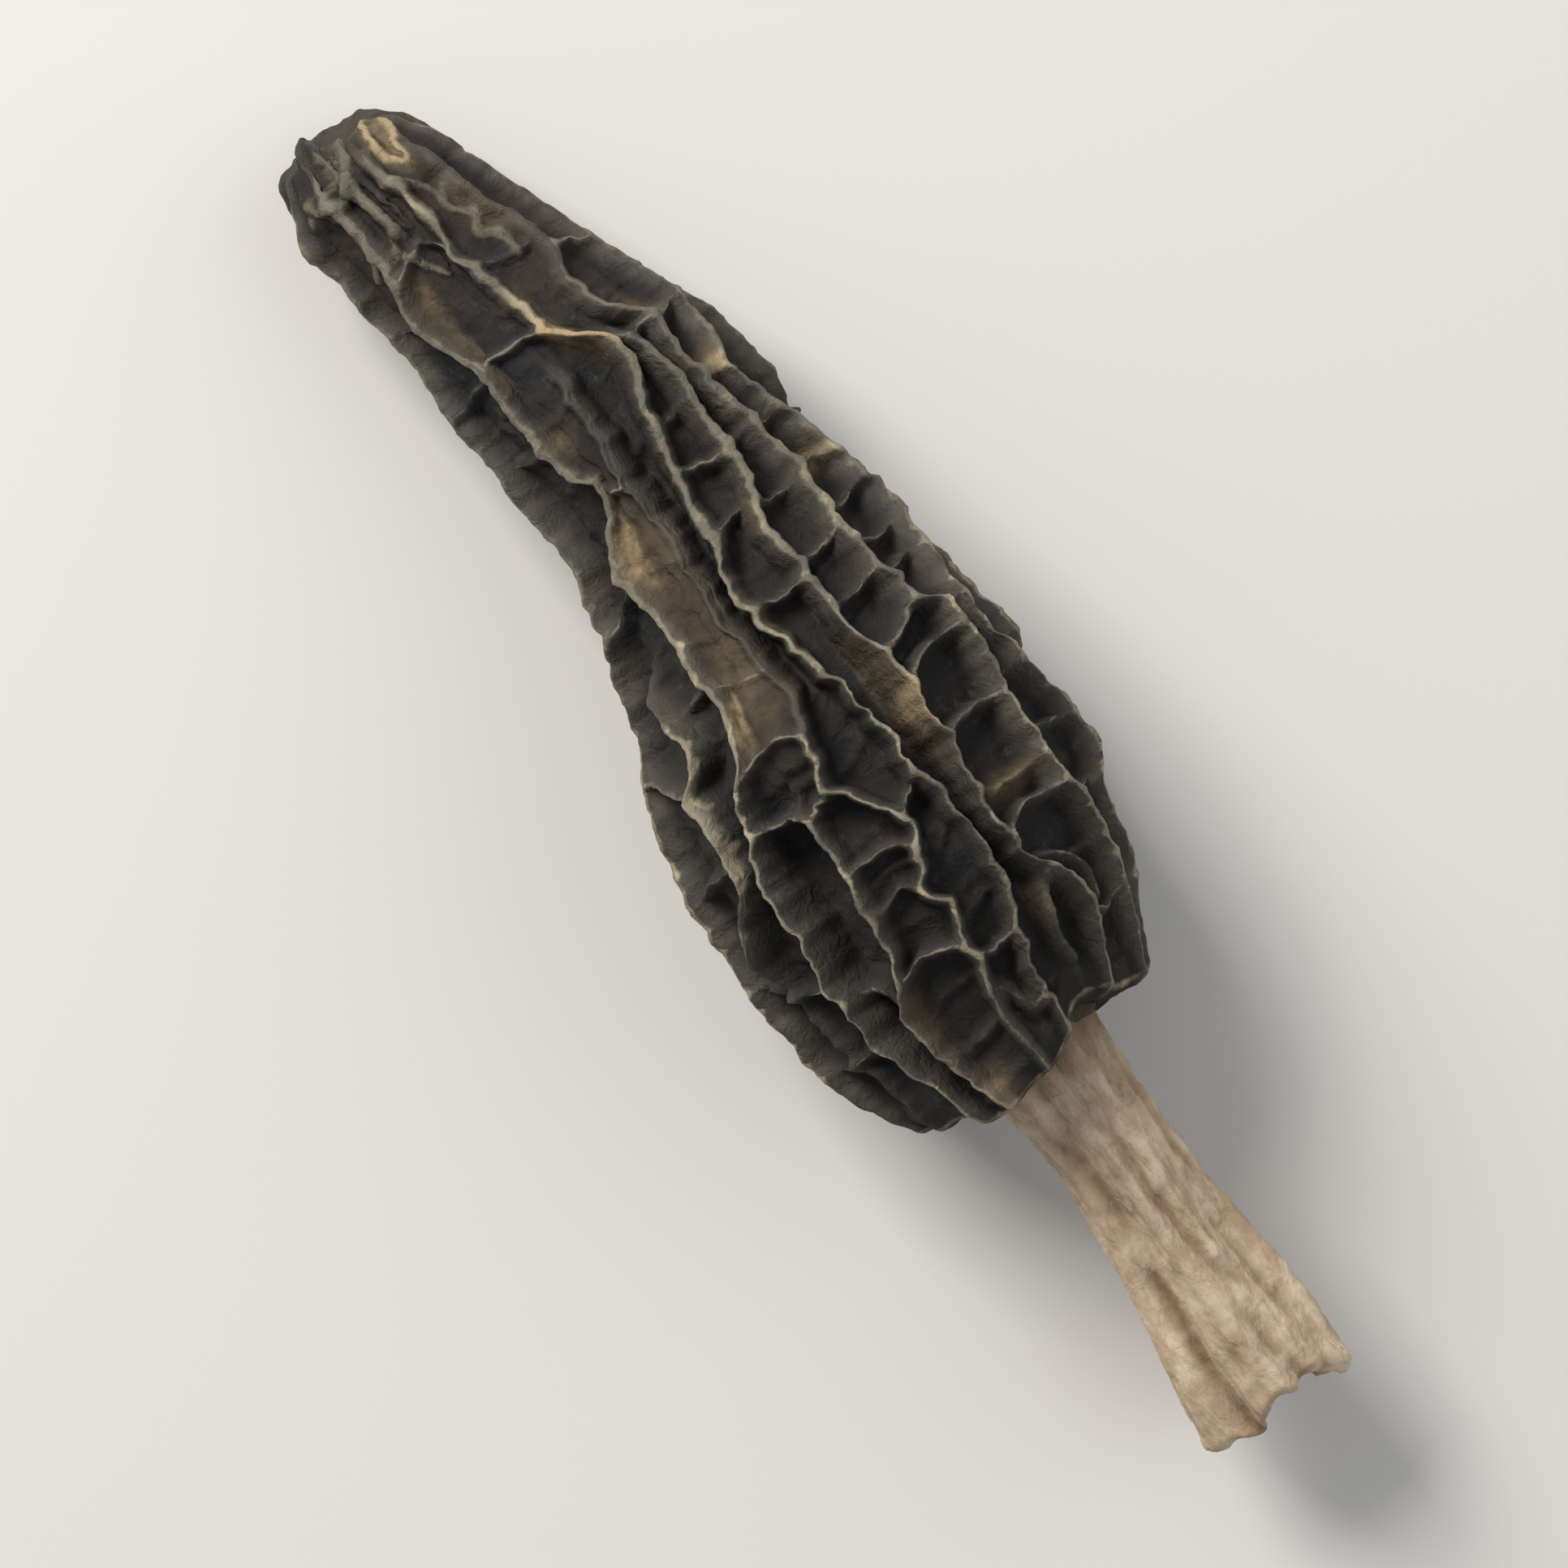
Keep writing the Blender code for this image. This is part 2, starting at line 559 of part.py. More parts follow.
def mesh_columns():
    """Every column of points round the mushroom, each from the tip to the hollow's end."""
    reaches = cap_reaches()
    rows = rung_rows(reaches)
    columns = []
    for ridge in range(len(RIDGES)):
        for share in COLUMN_SHARES:
            place = ridge + share
            column = tip_column(place) + cap_column(place, reaches, rows)
            column += tuck_column(place) + stem_column(place) + hollow_column(place)
            columns.append(column)
    return columns


def build_body():
    """The mushroom's mesh: a sphere's net of faces laid over the columns of points."""
    columns = mesh_columns()
    rings = len(columns[0])
    body = bmesh.new()
    bmesh.ops.create_uvsphere(body, u_segments=len(columns), v_segments=rings + 1, radius=1.0)
    for vertex in body.verts:
        down = round(math.acos(max(-1.0, min(1.0, vertex.co.z))) / math.pi * (rings + 1))
        if down == 0:
            vertex.co = surface_point(0.0, TIP_POLE_REACH, 0.0)
        elif down == rings + 1:
            vertex.co = surface_point(0.0, HOLLOW_END_REACH, 0.0)
        else:
            turn = math.atan2(vertex.co.y, vertex.co.x) / (2 * math.pi) * len(columns)
            vertex.co = columns[round(turn) % len(columns)][down - 1]
    return body


def flatten_underside(body):
    """Cut the lowest crests at the floor, so that the mushroom stands on small flats."""
    geometry = body.verts[:] + body.edges[:] + body.faces[:]
    bmesh.ops.bisect_plane(body, geom=geometry, dist=1e-7, plane_co=(0, 0, FLOOR_Z),
                           plane_no=(0, 0, 1), clear_inner=True)
    rims = [edge for edge in body.edges if edge.is_boundary]
    bmesh.ops.holes_fill(body, edges=rims, sides=0)


def flesh_material():
    """The plain dark flesh colour of the whole mushroom."""
    material = bpy.data.materials.new("morel_flesh")
    material.use_nodes = True
    shader = material.node_tree.nodes["Principled BSDF"]
    shader.inputs["Base Color"].default_value = FLESH_COLOUR
    shader.inputs["Roughness"].default_value = FLESH_ROUGHNESS
    shader.inputs["Metallic"].default_value = 0.0
    return material


def make_mushroom():
    """Build the mushroom and link it to the scene."""
    body = build_body()
    flatten_underside(body)
    bmesh.ops.triangulate(body, faces=body.faces[:])
    bmesh.ops.recalc_face_normals(body, faces=body.faces[:])
    mesh = bpy.data.meshes.new("dried_morel")
    body.to_mesh(mesh)
    body.free()
    mesh.materials.append(flesh_material())
    mesh.shade_smooth()
    mesh.set_sharp_from_angle(angle=math.radians(50))
    mushroom = bpy.data.objects.new("dried_morel", mesh)
    bpy.context.scene.collection.objects.link(mushroom)
    return mushroom


def main():
    """Clear the scene and build the mushroom."""
    for thing in list(bpy.data.objects):
        bpy.data.objects.remove(thing, do_unlink=True)
    make_mushroom()


main()
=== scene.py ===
"""The looks of a dried morel that lies on its side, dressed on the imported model.

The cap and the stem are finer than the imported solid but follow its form: the same ridges,
cross ribs and middle line, with thin leaning crests, pleated walls and wrinkled floors.

Lengths in the tables are millimetres. A "place" round the cap counts ridges: it is 3.0 on
ridge number 3 and 3.5 half-way from there to ridge 4. A "reach" is the distance from the tip
towards the cut end, along -X. Angles are degrees from straight up, towards -Y. FAR is a gap at
which no crest's line is drawn, NARROW is the least radius that turns widths into angles,
LINE_SPLITS is how many steps a drawn line takes from point to point, and FOLD_LEVEL is the
height of a noise's folds.
"""

from __future__ import annotations

import logging
import math
import random
from dataclasses import dataclass, field
from enum import Enum
from typing import NamedTuple

import bmesh
import bpy
import numpy as np
from mathutils import Euler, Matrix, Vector, noise


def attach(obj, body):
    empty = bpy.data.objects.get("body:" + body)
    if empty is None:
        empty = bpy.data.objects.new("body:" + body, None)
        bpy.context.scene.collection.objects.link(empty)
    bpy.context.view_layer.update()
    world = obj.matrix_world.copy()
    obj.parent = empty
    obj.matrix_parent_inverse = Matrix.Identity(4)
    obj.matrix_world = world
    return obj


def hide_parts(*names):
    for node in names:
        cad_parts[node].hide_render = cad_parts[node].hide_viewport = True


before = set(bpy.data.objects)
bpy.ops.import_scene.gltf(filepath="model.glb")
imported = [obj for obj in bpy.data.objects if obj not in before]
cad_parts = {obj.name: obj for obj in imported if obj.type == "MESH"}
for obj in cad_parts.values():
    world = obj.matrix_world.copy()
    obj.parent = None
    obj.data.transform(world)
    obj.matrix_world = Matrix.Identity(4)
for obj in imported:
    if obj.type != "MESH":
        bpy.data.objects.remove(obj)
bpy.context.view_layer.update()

LOG = logging.getLogger("dried_morel")

MM = 0.001
NODE = "dried_morel"
BODY = "root"

Socket = bpy.types.NodeSocket
Array = np.ndarray
Points = tuple[tuple[float, float], ...]
Triple = tuple[float, float, float]
Colour = tuple[float, float, float, float]
FULL: Points = ((0.0, 1.0),)
FAR = 9.0
NARROW = 2.5
LINE_SPLITS = 6
FOLD_LEVEL = 0.3


@dataclass(frozen=True)
class Curve:
    """A smooth curve through given (place, value) points, level past both ends."""

    points: Points

    def at(self, x: Array) -> Array:
        """Read the curve.

        Args:
            x: places along the curve.

        Returns:
            The values there.
        """
        x = np.asarray(x, dtype=float)
        if len(self.points) == 1:
            return np.full_like(x, self.points[0][1])
        places = np.array([point[0] for point in self.points], dtype=float)
        values = np.array([point[1] for point in self.points], dtype=float)
        last = len(places) - 1
        x = np.clip(x, places[0], places[-1])
        low = np.clip(np.searchsorted(places, x, side="right") - 1, 0, last - 1)
        order = np.arange(last + 1)
        before = np.maximum(order - 1, 0)
        behind = np.minimum(order + 1, last)
        slopes = (values[behind] - values[before]) / (places[behind] - places[before])
        span = places[low + 1] - places[low]
        u = (x - places[low]) / span
        ends = values[low] * (1 + 2 * u) * (1 - u) ** 2 + values[low + 1] * u * u * (3 - 2 * u)
        return ends + span * u * (1 - u) * (slopes[low] * (1 - u) - slopes[low + 1] * u)


def ripple(pattern: float, x: Array, wavelength: float) -> Array:
    """A smooth value between -1 and 1 that wanders along x.

    Args:
        pattern: picks the phases.
        x: places along the line.
        wavelength: length of the longest wave.

    Returns:
        The value at each place.
    """
    turn = 2 * math.pi * x / wavelength
    return (np.sin(turn + 2.4 * pattern) + 0.7 * np.sin(1.73 * turn + 4.1 * pattern)
            + 0.5 * np.sin(2.9 * turn + 1.3 * pattern)) / 2.2


def blade(half: float | Array, run: float | Array, apart: Array) -> Array:
    """1 within half of a crest's line, falling softly to 0 over its run."""
    return 1 - smooth_step(half, half + run, apart)


def smooth_step(low: float | Array, high: float | Array, x: Array) -> Array:
    """A soft step from 0 at low to 1 at high.

    Args:
        low: where the step starts.
        high: where it ends.
        x: values to map.

    Returns:
        The step's height at each value.
    """
    u = np.clip((x - low) / (high - low), 0.0, 1.0)
    return u * u * (3 - 2 * u)


def bump(angle: Array, middle: float | Array, width: float) -> Array:
    """A bump round an angle in degrees, 1 at its middle, for angles in radians."""
    apart = (np.degrees(angle) - middle + 180) % 360 - 180
    return np.exp(-(apart / width) ** 2)


def lobes(angle: Array, rows: tuple[Triple, ...]) -> Array:
    """The sum of (middle, width, size) bumps round the mushroom, for angles in radians."""
    return sum(size * bump(angle, middle, width) for middle, width, size in rows)


def waves(angle: Array, rows: tuple[Triple, ...]) -> Array:
    """The sum of (count, phase, size) waves round the mushroom, for angles in radians."""
    return sum(size * np.sin(count * angle + phase) for count, phase, size in rows)


class Ridge(NamedTuple):
    """A long ridge: (reach, angle) points of its crest, (reach, share) points of its height."""

    path: Points
    strength: Points


class Rung(NamedTuple):
    """A cross rib from one ridge to another, with its bow towards the stem and its height."""

    start: int
    end: int
    start_reach: float
    end_reach: float
    bow: float
    height: float


class Spur(NamedTuple):
    """A thin crest that no ridge or rung follows.

    valley: the valley that it stands in; points: (place, reach) of its line; height: its share
    of the pit's depth.
    """

    valley: int
    points: Points
    height: float


class Frill(NamedTuple):
    """A thin crest of the curled tip, seen from above.

    points: (reach, distance towards -Y) of its line; height: how far it stands up, or below 0
    how deep a groove it is; width: half its width; tan: its tone.
    """

    points: Points
    height: float
    width: float
    tan: float


class Press(NamedTuple):
    """A round place on the tip that is pressed in or swollen, seen from above."""

    reach: float
    side: float
    radius: float
    height: float


class Patch(NamedTuple):
    """A broad tan patch: its place and reach, its half sizes and its strength."""

    place: float
    reach: float
    half_width: float
    half_length: float
    strength: float


SEEN_RIDGES = (
    Ridge(((0, -78), (12, -77), (24, -80), (32, -71), (38, -86), (43, -92), (56, -90), (70, -88)),
          FULL),
    Ridge(((0, -58), (20, -60), (32, -58), (39, -64), (40.5, -57), (43, -46), (45.5, -50),
           (50.8, -48), (54, -60), (57, -70), (70, -64)),
          ((37, 0.0), (39.5, 0.9), (55, 1.0), (58, 0.5), (66, 0.35))),
    Ridge(((0, -34), (8, -31), (11.3, -45), (14.3, -44), (18, -35), (20.8, -39), (25.5, -36),
           (27.3, -29), (30.2, -41), (32, -43), (38, -35), (45.3, -29), (47, -35), (56, -43),
           (63, -41), (67, -36), (70, -40)),
          FULL),
    Ridge(((0, -13), (8, -12), (14, -27), (22, -27), (32, -27), (40, -22), (47, -22), (51, -20),
           (59, -21), (63, -28), (67, -25), (70, -22)),
          ((7.5, 0.7), (9.5, 0.0), (48.3, 0.0), (50.5, 1.0))),
    Ridge(((0, -3), (8, -3), (14, -13), (20, -9), (22.5, -13), (27, -17), (35, -16), (37.5, -16),
           (40, -12), (44.7, -6.5), (49.5, -9.6), (51.7, -2), (53.5, 3), (56, 0.6), (58, -3.6),
           (59.7, 2.5), (61.4, 0), (70, 0)),
          ((6, 0.4), (8, 0.0), (18, 0.0), (21, 0.7), (44, 0.75), (47, 1.0))),
    Ridge(((0, 9), (7.7, 8), (11.3, 1), (17.4, 3.5), (20.3, 17), (21.9, 17), (23.9, 10),
           (28.6, -2), (33.3, -3.3), (35, -7), (37.5, -9), (41, -3), (46, 8.4), (53, 14),
           (61.8, 18), (66.4, 13.5), (70, 17)),
          FULL),
    Ridge(((0, 26), (8, 25), (14.5, 16), (18, 15), (20.5, 24), (25.5, 25), (31, 22.5),
           (34.6, 14.5), (37.3, 14.7), (42.5, 17.3), (45.5, 21), (51, 24.4), (57, 22.7),
           (59.7, 26.6), (63.9, 43), (70, 48)),
          ((18.5, 0.0), (21, 0.9), (24, 1.0))),
    Ridge(((0, 44), (8, 42), (12, 46), (15.5, 31), (18.2, 28), (20.3, 40), (24.7, 35), (31.2, 41),
           (37, 38), (43.5, 41), (44.7, 50), (50.8, 52), (56.3, 50.4), (62, 64), (70, 72)),
          ((0, 0.8), (14, 0.9), (20, 1.0))),
    Ridge(((0, 78), (10, 76), (20, 68), (25, 50), (27, 52), (31, 65), (37, 70), (44.7, 60),
           (49.3, 65), (54.4, 83), (56.8, 87), (58.8, 73), (63, 82), (70, 94)),
          FULL),
)
HIDDEN_RIDGES = (
    Ridge(((0, 102), (10, 110), (18, 104), (26, 97), (34, 106), (42, 112), (48, 103), (55, 111),
           (62, 104), (70, 112)),
          ((27, 1.0), (31, 0.55), (35, 1.0))),
    Ridge(((0, 138), (8, 130), (16, 126), (24, 134), (30, 142), (38, 136), (46, 127), (53, 137),
           (60, 131), (70, 138)),
          ((12, 1.0), (15, 0.6), (20, 1.0), (54, 1.0), (58, 0.6), (62, 1.0))),
    Ridge(((0, 165), (12, 163), (24, 166), (36, 163), (48, 165), (60, 163), (70, 166)),
          FULL),
    Ridge(((0, 196), (12, 198), (24, 195), (36, 197), (48, 195), (60, 198), (70, 196)),
          FULL),
    Ridge(((0, 222), (9, 230), (17, 222), (25, 216), (33, 226), (41, 232), (49, 222), (56, 217),
           (63, 226), (70, 222)),
          ((38, 1.0), (42, 0.6), (46, 1.0))),
    Ridge(((0, 252), (8, 246), (16, 254), (24, 248), (32, 240), (40, 250), (48, 244), (55, 238),
           (63, 250), (70, 248)),
          ((16, 1.0), (20, 0.6), (24, 1.0), (50, 1.0), (54, 0.6), (58, 1.0))),
)
RIDGE_COUNT = len(SEEN_RIDGES + HIDDEN_RIDGES)

VALLEY_DEPTHS: tuple[Points, ...] = (
    ((0, 2.3),),
    ((0, 2.4), (36, 2.4), (44, 2.9)),
    ((0, 2.2), (19, 1.7), (26, 1.1), (45, 1.2), (49, 2.4), (52, 4.0)),
    ((0, 2.2), (19, 1.6), (26, 0.9), (45, 1.0), (49, 2.3)),
    ((0, 2.2), (19, 2.2), (24, 3.2), (50, 3.3), (56, 2.3)),
    ((0, 1.7), (19, 2.0), (24, 2.5), (40, 2.7), (45, 4.2), (57, 4.0), (62, 2.6)),
    ((0, 1.7), (24, 2.0), (34, 2.4)),
    ((0, 2.1), (40, 2.2), (56, 2.0)),
    ((0, 2.4),),
    ((0, 2.4), (20, 2.8), (50, 3.2)),
    ((0, 2.2),),
    ((0, 2.2),),
    ((0, 2.4),),
    ((0, 2.4), (24, 3.0), (50, 3.3)),
    ((0, 2.3),),
)
HIDDEN_VALLEYS = range(8, 15)

RUNG_ROWS: dict[tuple[int, int], tuple[tuple[float, float, float, float], ...]] = {
    (0, 2): ((11.8, 12.6, 0.3, 0.5), (18.2, 17.6, 0.0, 0.6), (22.6, 23.2, 0.4, 0.45),
        (35.0, 32.2, 0.0, 0.75), (56.8, 59.6, 0.3, 0.65), (63.8, 63.2, 0.5, 0.5)),
    (0, 1): ((43.0, 45.6, 0.0, 0.9), (50.8, 50.4, -0.4, 0.6)),
    (1, 2): ((41.2, 40.2, 0.0, 0.6), (52.6, 51.8, 0.4, 0.45)),
    (2, 5): ((10.2, 10.6, -1.8, 0.8), (17.3, 17.6, -0.5, 0.85)),
    (2, 4): ((22.0, 21.6, 0.5, 0.4), (26.8, 27.8, 0.5, 0.9), (33.0, 33.6, -0.3, 0.45),
        (37.6, 38.2, 0.5, 0.4), (40.8, 41.8, 0.2, 0.7), (46.6, 46.4, -1.0, 0.9)),
    (2, 3): ((49.4, 50.0, 0.0, 0.9),),
    (3, 4): ((50.6, 49.6, 0.0, 0.95), (54.6, 55.4, -0.6, 0.75), (57.8, 57.6, -0.7, 0.65),
        (61.4, 61.8, -0.8, 0.85), (66.0, 65.6, 0.4, 0.4)),
    (4, 5): ((53.6, 51.8, 0.0, 0.9), (62.4, 62.8, 0.2, 0.8)),
    (5, 7): ((11.6, 12.2, 0.4, 0.55), (20.0, 20.4, 0.4, 0.9)),
    (5, 6): ((26.0, 25.8, 0.3, 0.5), (29.0, 29.9, 0.2, 0.85), (33.8, 33.4, -0.4, 0.7),
        (38.5, 38.8, 0.2, 0.85)),
    (6, 7): ((24.6, 24.2, 0.0, 0.5), (29.4, 29.0, 0.3, 0.6), (33.2, 33.6, 0.3, 0.7),
        (37.8, 37.2, 0.4, 0.8), (41.2, 40.6, 0.3, 0.8), (45.2, 43.4, 0.2, 0.9),
        (47.6, 46.4, -0.6, 0.9), (51.4, 51.2, -0.6, 0.9), (54.8, 55.4, 0.4, 0.6),
        (58.2, 57.6, -0.7, 0.9), (61.6, 61.6, -0.4, 0.4), (64.4, 64.6, 0.8, 0.8)),
    (7, 8): ((13.4, 14.2, -0.3, 0.95), (20.4, 20.0, 0.3, 0.9), (25.0, 25.6, 0.0, 0.7),
        (29.0, 29.4, 0.4, 0.6), (33.0, 33.4, -0.3, 0.9), (36.2, 35.6, 0.4, 0.7),
        (38.6, 39.0, 0.4, 0.8), (41.8, 41.2, -0.3, 0.7), (44.9, 44.9, 0.0, 0.95),
        (49.6, 50.2, 0.3, 0.6), (54.0, 54.6, -0.3, 0.6), (58.6, 58.2, 0.0, 0.7),
        (63.0, 63.4, 0.3, 0.6)),
}
SEEN_RUNGS = tuple(Rung(*ends, *row) for ends, rows in RUNG_ROWS.items() for row in rows)
RUNG_SEED = 7
FIRST_HIDDEN_RUNG = (8.0, 11.0)
LAST_HIDDEN_RUNG = 65.0
HIDDEN_RUNG_GAPS = (2.9, 6.2)
HIDDEN_RUNG_SLANT = 1.3
HIDDEN_RUNG_BOW = 0.7
HIDDEN_RUNG_HEIGHTS = (0.45, 0.95)
ROWS_BETWEEN_RUNGS = 2
FAINT_SEED = 40
FAINT_GAP = 1.9
FAINT_HEIGHTS = (0.07, 0.2)
FAINT_DRIFT = 0.12
FAINT_SLANT = 0.5

SPURS = (
    Spur(5, ((5.93, 61.3), (5.62, 62.8), (5.52, 65.2), (5.62, 67.8)), 0.7),
    Spur(7, ((7.1, 64.2), (7.45, 65.4), (7.6, 67.0), (7.35, 68.2)), 0.7),
    Spur(7, ((7.45, 65.4), (7.8, 64.6), (7.98, 64.9)), 0.6),
    Spur(6, ((6.0, 60.2), (6.3, 60.6), (6.55, 62.0), (6.6, 64.4)), 0.5),
    Spur(4, ((4.0, 64.2), (4.35, 65.0), (4.7, 66.8), (4.95, 67.0)), 0.5),
    Spur(2, ((2.1, 60.4), (2.5, 61.4), (2.7, 63.6), (2.55, 66.0)), 0.45),
)

TAN_PATCHES = tuple(Patch(*row) for row in (
    (6.6, 8.6, 0.5, 3.4, 0.55), (5.0, 6.5, 0.25, 3.2, 0.7), (5.1, 15.8, 0.4, 3.0, 0.8),
    (5.05, 18.6, 0.42, 2.4, 1.6), (2.5, 12.0, 0.3, 2.6, 0.6), (2.35, 16.2, 0.3, 3.0, 0.6),
    (5.3, 19.6, 0.35, 1.3, 1.0), (2.45, 31.0, 0.38, 3.4, 1.3), (3.1, 33.0, 1.2, 5.2, 0.5),
    (3.1, 41.5, 1.1, 4.2, 0.55), (2.45, 43.6, 0.38, 2.2, 1.3), (2.0, 36.0, 0.25, 9.0, 0.5),
    (2.6, 23.6, 0.5, 1.0, 0.7), (7.8, 25.2, 0.4, 1.2, 1.0), (7.8, 33.2, 0.35, 1.1, 0.9),
    (7.5, 20.0, 0.3, 2.0, 0.6), (6.0, 33.8, 0.3, 1.4, 0.6), (6.5, 55.6, 0.45, 0.9, 0.9),
    (5.9, 47.5, 0.25, 4.5, 0.6), (5.97, 48.6, 0.2, 2.2, 1.3), (5.0, 41.0, 0.22, 5.0, 0.6),
    (2.8, 63.5, 0.35, 2.2, 0.9), (5.6, 63.4, 0.16, 1.7, 0.9), (3.0, 68.6, 0.5, 1.4, 0.8),
    (10.4, 24.0, 0.9, 4.0, 0.5), (9.4, 52.0, 0.6, 3.4, 0.6), (12.9, 40.0, 0.4, 3.0, 0.8),
    (13.2, 46.0, 0.9, 4.5, 0.5), (14.3, 15.0, 0.6, 4.0, 0.6), (12.1, 15.0, 0.5, 3.0, 0.6)))

TIP_FRILLS = (
    Frill(((-0.9, -0.6), (-1.4, -1.9), (-0.2, -3.0), (1.4, -3.2), (3.0, -2.9), (3.8, -1.9),
           (3.3, -0.8), (2.3, -0.3), (1.4, 0.3), (0.2, 0.3), (-0.9, -0.6)), 0.45, 0.36, 0.1),
    Frill(((0.7, -2.1), (1.8, -2.4), (2.6, -1.7), (2.0, -1.0), (1.0, -1.1)), 0.3, 0.28, 0.0),
    Frill(((0.0, -1.1), (0.9, -0.6), (1.5, -0.8)), 0.25, 0.26, 0.0),
    Frill(((0.0, 2.4), (1.2, 2.0), (2.8, 2.2), (4.3, 3.0), (3.4, 3.35), (2.0, 3.2), (0.8, 2.85),
           (0.0, 2.4)), 0.42, 0.2, 1.0),
    Frill(((0.5, 2.5), (1.4, 2.6), (2.4, 2.75), (3.2, 2.95)), -0.1, 0.2, 0.75),
    Frill(((6.3, 4.2), (7.6, 3.5), (8.9, 4.7), (10.0, 4.3), (11.1, 5.3), (12.4, 5.4)),
          0.25, 0.27, 0.3),
    Frill(((3.3, -0.2), (4.8, -0.4), (7.0, -0.1), (8.4, -0.6), (9.9, 0.5), (11.0, 1.2)),
          0.24, 0.27, 0.1),
    Frill(((4.2, 1.2), (5.4, 2.4), (6.2, 3.3), (7.6, 3.5)), 0.22, 0.27, 0.3),
    Frill(((4.0, -2.5), (5.5, -1.9), (7.5, -2.0), (8.8, -2.6)), 0.22, 0.27, 0.0),
    Frill(((3.1, -3.6), (5.1, -4.3), (7.5, -4.3), (9.5, -4.5)), 0.22, 0.27, 0.0),
)
TIP_PRESSES = (
    Press(1.2, -1.5, 1.5, -0.8),
    Press(2.2, 2.7, 1.3, 0.30),
    Press(2.3, 2.7, 0.45, -0.2),
    Press(6.2, 1.2, 0.9, -0.25),
    Press(8.9, 3.2, 0.9, -0.30),
)


@dataclass(frozen=True)
class Spine:
    """The line through the middle of the cap and the stem, and where it lies."""

    tip_x: float = 47.3
    side_offset: float = 3.33
    sink: float = 0.35
    side: Curve = Curve((
        (0, 0.0), (5, 0.8), (13.5, 2.8), (19, 4.0), (24, 4.9), (32, 5.2), (40.5, 4.9), (46, 4.0),
        (52, 3.4), (57, 3.3), (62, 2.6), (66, 2.2), (70, 2.3), (76, 2.5), (82, 2.3), (88, 2.0),
        (96, 1.7)))
    height: Curve = Curve((
        (0, 5.6), (5, 6.3), (13.5, 7.0), (20, 7.9), (30, 9.0), (35, 9.9), (40.5, 11.1),
        (46, 12.2), (52, 12.4), (57, 12.6), (62, 12.3), (66, 11.9), (70, 11.5), (78, 10.6),
        (87, 9.6), (96, 8.4)))

    def points(self, angle: Array, reach: Array, radius: Array) -> Array:
        """Places in the world of points round the middle line, kept above the floor.

        Args:
            angle: radians from straight up, towards -Y.
            reach: distances from the tip.
            radius: distances from the middle line.

        Returns:
            Metres, with x, y and z along the last axis.
        """
        side = self.side.at(reach) + radius * np.sin(angle) - self.side_offset
        height = self.height.at(reach) + radius * np.cos(angle) - self.sink
        return np.stack([self.tip_x - reach, -side, np.maximum(height, 0.0)], axis=-1) * MM


@dataclass(frozen=True)
class Furrows:
    """The long folds of the stem: folds round it, phase, twist a millimetre and depth share."""

    flatness: float = 0.12
    length: float = 96.0
    waves: tuple[tuple[float, float, float, float], ...] = (
        (2, 0.6, 0.015, 0.07), (5, 1.3, 0.05, 0.075), (9, 2.2, -0.04, 0.035))

    def share(self, angle: Array, reach: Array) -> Array:
        """The furrowed radius as a share of the round one, for angles in radians."""
        total = self.flatness * np.cos(2 * angle + math.pi)
        for folds, phase, twist, size in self.waves:
            total = total + size * np.sin(folds * angle + phase + twist * (reach - self.length))
        return 1 + total


